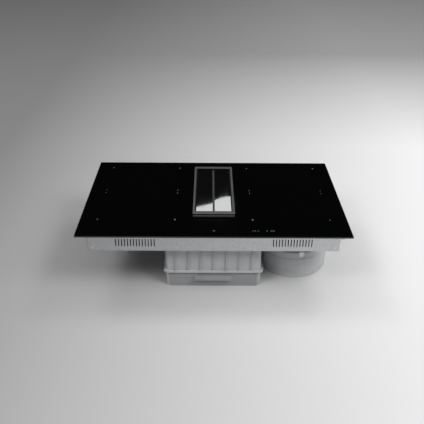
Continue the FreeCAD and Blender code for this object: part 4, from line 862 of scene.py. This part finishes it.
def make_tank_ridges():
    """Moulded ridges either side of the tank's grip."""
    grip_reach = 10 * MM
    proud = 0.9 * MM
    sunk = 0.3 * MM
    inner_end = 74 * MM
    outer_end = 122 * MM
    ridge_height = 2.2 * MM
    ridge_count = 5
    first_ridge = 9 * MM
    ridge_pitch = 6 * MM
    face = tank_low[1] + grip_reach
    mesh = bmesh.new()
    for side in (-1, 1):
        left, right = sorted((side * inner_end, side * outer_end))
        for step in range(ridge_count):
            z = tank_low[2] + first_ridge + step * ridge_pitch
            add_block(mesh, (left, face - proud, z), (right, face + sunk, z + ridge_height), bevel=0.5 * MM)
    new_piece("tank_ridges", mesh, "tank_plastic", body="tank")


def make_cover_screws():
    """Screws along the edge of the fan cover."""
    inset = 4.5 * MM
    left = cover_low[0] + inset
    right = cover_high[0] - inset
    left_rows = (60 * MM, 110 * MM, 160 * MM, 205 * MM)
    right_rows = (-40 * MM, 20 * MM, 80 * MM, 140 * MM, 205 * MM)
    places = [(left, row) for row in left_rows] + [(right, row) for row in right_rows]
    template = small_screw_template()
    mesh = bmesh.new()
    for x, y in places:
        stamp(mesh, template, Matrix.Translation((x, y, cover_high[2])))
    new_piece("cover_screws", mesh, "screw_steel")


def hull_of(points):
    """The corners of the smallest convex outline round some (x, y) points, anticlockwise."""
    least_turn = 1e-12
    points = sorted(set(points))

    def half(ordered):
        chain = []
        for point in ordered:
            while len(chain) > 1:
                (ax, ay), (bx, by) = chain[-2], chain[-1]
                if (bx - ax) * (point[1] - ay) - (by - ay) * (point[0] - ax) > least_turn:
                    break
                chain.pop()
            chain.append(point)
        return chain[:-1]

    return half(points) + half(points[::-1])


def casing_path():
    """The fan casing's outline where it is free: its front and its right side, from left to right."""
    level_reach = 1 * MM
    start_y = -100 * MM
    left_gap = 8 * MM
    rear_gap = 12 * MM
    corners = frame["nodes"]["fan_casing"].data.vertices
    top = [(round(corner.co.x, 5), round(corner.co.y, 5)) for corner in corners
           if abs(corner.co.z - casing_high[2]) < level_reach]
    hull = hull_of(top)
    start = min(range(len(hull)), key=lambda step: hull[step][0] + abs(hull[step][1] - start_y))
    path = []
    for x, y in hull[start:] + hull[:start]:
        if y > casing_high[1] - rear_gap:
            break
        if x > casing_low[0] + left_gap or path:
            path.append(Vector((x, y, 0)))
    path.append(Vector((casing_high[0], casing_high[1] - rear_gap, 0)))
    return path


def outward_at(path, step):
    """The level outward direction of a path that runs anticlockwise."""
    before = path[max(step - 1, 0)]
    after = path[min(step + 1, len(path) - 1)]
    along = (after - before).normalized()
    return Vector((along.y, -along.x, 0))


def make_casing_beads():
    """Stiffening beads round the fan casing, and the lip where its cover is pressed on."""
    sunk = 0.5 * MM
    pair_spread = 22 * MM
    foot_level = casing_low[2] + 3.5 * MM
    middle = (casing_low[2] + casing_high[2]) / 2
    # Each bead: its level, half of its height and how far it stands out.
    beads = ((middle + pair_spread, 3.0 * MM, 1.5 * MM), (middle - pair_spread, 3.0 * MM, 1.5 * MM),
             (casing_high[2], 2.2 * MM, 1.8 * MM), (foot_level, 3.4 * MM, 1.2 * MM))
    path = casing_path()
    mesh = bmesh.new()
    for level, half_height, reach in beads:
        section = ((-sunk, -1.0), (0.45 * reach, -0.85), (reach, -0.35),
                   (reach, 0.35), (0.45 * reach, 0.85), (-sunk, 1.0))
        rows = []
        for step, point in enumerate(path):
            outward = outward_at(path, step)
            rows.append([mesh.verts.new(point + outward * out + Vector((0, 0, level + up * half_height)))
                         for out, up in section])
        for here, there in zip(rows[:-1], rows[1:]):
            for step in range(len(here)):
                after = (step + 1) % len(here)
                mesh.faces.new((here[step], here[after], there[after], there[step]))
        mesh.faces.new(rows[0])
        mesh.faces.new(rows[-1][::-1])
    new_piece("casing_beads", mesh, "duct_plastic")


def make_casing_clips():
    """Spring clips that hold the fan cover on its casing, evenly spaced along its free side."""
    clip_count = 6
    # The back of a clip, its tongue over the cover and its hook, each by two corners in mm.
    clip_blocks = (((-9, 1.9, -11), (9, 3.1, 5)), ((-9, -5, 3.2), (9, 2.2, 4.2)),
                   ((-6, -0.4, -12), (6, 3.1, -10.8)))
    path = casing_path()
    lengths = [0.0]
    for before, after in zip(path[:-1], path[1:]):
        lengths.append(lengths[-1] + (after - before).length)
    mesh = bmesh.new()
    for clip in range(clip_count):
        target = lengths[-1] * (clip + 0.5) / clip_count
        step = max(index for index, reach in enumerate(lengths) if reach <= target)
        share = (target - lengths[step]) / (lengths[step + 1] - lengths[step])
        seat = path[step].lerp(path[step + 1], share)
        seat.z = casing_high[2]
        along = (path[step + 1] - path[step]).normalized()
        outward = Vector((along.y, -along.x, 0))
        turn = Matrix((along, outward, Vector((0, 0, 1)))).transposed().to_4x4()
        start = len(mesh.verts)
        for low, high in clip_blocks:
            add_block(mesh, [part * MM for part in low], [part * MM for part in high], bevel=0.35 * MM)
        move_new(mesh, start, Matrix.Translation(seat) @ turn)
    new_piece("casing_clips", mesh, "zinc_sheet")


def make_tray_rivets():
    """Blind rivets that close the corners of the chassis and hold its inner angles."""
    dome = [(0, -0.4 * MM), (2.6 * MM, -0.4 * MM), (2.6 * MM, 0.15 * MM), (2.2 * MM, 0.7 * MM)]
    dome += [(1.5 * MM, 1.0 * MM), (1.0 * MM, 1.05 * MM), (0.8 * MM, 0.5 * MM), (0, 0.45 * MM)]
    corner_inset = 16 * MM
    angle_x = 110 * MM
    below_rim = 16 * MM
    above_floor = 10 * MM
    heights = (tray_high[2] - below_rim, tray_low[2] + above_floor)
    side_rows = (tray_low[1] + corner_inset, 0.0, tray_high[1] - corner_inset)
    end_columns = (tray_low[0] + corner_inset, -angle_x, angle_x, tray_high[0] - corner_inset)
    places = []
    for side in (-1, 1):
        places += [(side * tray_high[0], y, Vector((side, 0, 0))) for y in side_rows]
        places += [(x, side * tray_high[1], Vector((0, side, 0))) for x in end_columns]
    mesh = bmesh.new()
    for x, y, outward in places:
        turn = outward.to_track_quat("Z", "Y").to_matrix().to_4x4()
        for z in heights:
            add_lathe(mesh, dome, Matrix.Translation((x, y, z)) @ turn, segments=18)
    new_piece("tray_rivets", mesh, "aluminium_sheet")


def make_spigot_beads():
    """Two snap ridges round the stub for the flat duct's socket."""
    rise = 1.0 * MM
    ridge_width = 2 * MM
    inset_x = 1.5 * MM
    inset_z = 3.5 * MM
    low_x = spigot_low[0] + inset_x
    high_x = spigot_high[0] - inset_x
    low_z = spigot_low[2] + inset_z
    high_z = spigot_high[2] - inset_z
    mesh = bmesh.new()
    for from_mouth in (8 * MM, 16 * MM):
        front = spigot_high[1] - from_mouth
        rear = front + ridge_width
        for bottom, top in ((low_z - rise, low_z), (high_z, high_z + rise)):
            add_block(mesh, (low_x - rise, front, bottom), (high_x + rise, rear, top), bevel=0.35 * MM)
        for left, right in ((low_x - rise, low_x), (high_x, high_x + rise)):
            add_block(mesh, (left, front, low_z), (right, rear, high_z), bevel=0.35 * MM)
    new_piece("spigot_beads", mesh, "duct_plastic")


def make_terminal_screws():
    """Screws in the cover of the terminal box, with their heads down."""
    inset = 7 * MM
    head_down = Matrix.Rotation(math.pi, 4, "X")
    template = small_screw_template()
    mesh = bmesh.new()
    for x in (terminal_low[0] + inset, terminal_high[0] - inset):
        for y in (terminal_low[1] + inset, terminal_high[1] - inset):
            stamp(mesh, template, Matrix.Translation((x, y, terminal_low[2])) @ head_down)
    new_piece("terminal_screws", mesh, "screw_steel")


# ---- Stage, light and camera ----
CAMERA_PLACE = Vector((-17.16 * MM, -1751.56 * MM, 950.57 * MM))
CAMERA_PITCH_DOWN = 29.929
CAMERA_YAW = -0.406
CAMERA_ROLL = -0.474
CAMERA_LENS = 50.144
SENSOR_WIDTH = 36.0


def make_camera():
    """The photograph's view: pitch, yaw and roll in degrees, lens and sensor in millimetres."""
    data = bpy.data.cameras.new("camera")
    data.sensor_fit = "HORIZONTAL"
    data.sensor_width = SENSOR_WIDTH
    data.lens = CAMERA_LENS
    camera = bpy.data.objects.new("camera", data)
    bpy.context.scene.collection.objects.link(camera)
    turn = (Matrix.Rotation(math.radians(CAMERA_YAW), 4, "Z")
            @ Matrix.Rotation(math.radians(90 - CAMERA_PITCH_DOWN), 4, "X")
            @ Matrix.Rotation(math.radians(-CAMERA_ROLL), 4, "Z"))
    camera.matrix_world = Matrix.Translation(CAMERA_PLACE) @ turn
    bpy.context.scene.camera = camera


def make_lamp(name, place, target, size, power):
    """A white soft box that looks at a target; its size is in metres and its power in watts."""
    data = bpy.data.lights.new(name, "AREA")
    data.shape = "RECTANGLE"
    data.size, data.size_y = size
    data.energy = power
    lamp = bpy.data.objects.new(name, data)
    bpy.context.scene.collection.objects.link(lamp)
    direction = Vector(target) - Vector(place)
    turn = direction.to_track_quat("-Z", "Y").to_matrix().to_4x4()
    lamp.matrix_world = Matrix.Translation(place) @ turn


def make_sun(strength, disc_degrees):
    """Even light from straight above, from a wide soft disc."""
    data = bpy.data.lights.new("even_light", "SUN")
    data.energy = strength
    data.angle = math.radians(disc_degrees)
    sun = bpy.data.objects.new("even_light", data)
    bpy.context.scene.collection.objects.link(sun)


def make_floor():
    """A plain pale floor under the lowest casing, with painted light and shade: grey on the left and pale on
    the right, as from a lamp on the right; it is also greyer far behind.
    """
    half_size = 60.0
    blend_reach = 1.0
    fade_start = 0.9
    fade_end = 2.6
    fade_share = 0.75
    painted_shade_left_grey = (0.21, 0.21, 0.21)
    painted_light_right_grey = (0.78, 0.78, 0.78)
    far_grey = (0.20, 0.20, 0.20)
    mesh = bmesh.new()
    bmesh.ops.create_grid(mesh, x_segments=1, y_segments=1, size=half_size)
    floor = mesh_object("floor", mesh)
    floor.location = (0, 0, cad_box[0][2])
    finish = Finish("floor", painted_light_right_grey, 0.8)
    x, y, _ = finish.axes()
    # painted light and shade: the floor's colour goes from grey on the left to pale on the right
    finish.blend_colours(finish.stretch(x, 0.0, 1.0, -blend_reach, blend_reach), painted_shade_left_grey, painted_light_right_grey)
    finish.blend_colours(finish.stretch(y, 0.0, fade_share, fade_start, fade_end), None, far_grey)
    floor.data.materials.append(finish.material)


def make_reflection_card():
    """A small bright card, high behind the cooktop, that the flaps mirror towards the cook."""
    card_y = 2.6
    glow = 0.75
    # Its outline seen from the cooktop, in metres: straight on three sides, with a wavy lower edge.
    corners = [(-0.135, 1.600), (0.193, 1.600), (0.193, 1.431), (0.127, 1.435), (0.081, 1.4475),
               (0.039, 1.4675), (0.016, 1.499), (-0.049, 1.519), (-0.12, 1.535), (-0.135, 1.548)]
    mesh = bmesh.new()
    mesh.faces.new([mesh.verts.new((x, card_y, z)) for x, z in corners])
    card = mesh_object("reflection_card", mesh)
    finish = Finish("reflection_card", (0.0, 0.0, 0.0), 1.0)
    finish.set("Emission Color", (1.0, 1.0, 1.0, 1.0))
    finish.set("Emission Strength", glow)
    card.data.materials.append(finish.material)
    card.visible_camera = False


def make_world():
    """A dim studio: pale round the horizon, a dark band above it and grey overhead."""
    pale = 0.62
    dark = 0.0045
    grey = 0.24
    # Degrees above the horizon, and the grey there.
    levels = ((0, pale), (6, pale), (14, dark), (42, dark), (58, grey), (90, grey))
    world = bpy.data.worlds.new("studio")
    bpy.context.scene.world = world
    world.use_nodes = True
    tree = world.node_tree
    background = tree.nodes["Background"]
    place = tree.nodes.new("ShaderNodeTexCoord")
    parts = tree.nodes.new("ShaderNodeSeparateXYZ")
    ramp = tree.nodes.new("ShaderNodeValToRGB")
    tree.links.new(place.outputs["Generated"], parts.inputs["Vector"])
    tree.links.new(parts.outputs["Z"], ramp.inputs["Fac"])
    tree.links.new(ramp.outputs["Color"], background.inputs["Color"])
    stops = ramp.color_ramp.elements
    while len(stops) < len(levels):
        stops.new(0.5)
    for stop, (degrees, level) in zip(stops, levels):
        stop.position = math.sin(math.radians(degrees))
        stop.color = (level, level, level, 1.0)


def make_studio():
    """Floor, card, world, lamps and camera; places and sizes are in metres, power is in watts."""
    at_glass = (0.1, 0.0, 0.0)
    at_casings = (0.0, 0.0, -0.1)
    make_floor()
    make_reflection_card()
    make_world()
    make_lamp("key", (2.7, -1.7, 3.3), at_glass, size=(2.4, 2.0), power=120)
    make_lamp("left_front", (-2.3, -2.1, 3.2), at_casings, size=(1.8, 1.6), power=50)
    make_lamp("right_rear", (2.3, 1.9, 3.8), at_casings, size=(1.8, 1.2), power=44)
    make_lamp("left_rear", (-2.2, 1.9, 3.8), at_casings, size=(1.8, 1.2), power=38)
    make_sun(strength=0.9, disc_degrees=90)
    make_camera()


dress_nodes()
make_zone_marks()
make_touch_keys()
make_screws("casing_screw_set", "casing_screws", axis=2)
make_screws("clamp_screw_set", "clamp_screws", axis=0)
make_tray_beads()
make_box_ribs()
make_box_clips()
make_tank_ridges()
make_cover_screws()
make_casing_beads()
make_casing_clips()
make_tray_rivets()
make_spigot_beads()
make_terminal_screws()
make_studio()
bpy.context.scene.view_settings.view_transform = "Standard"
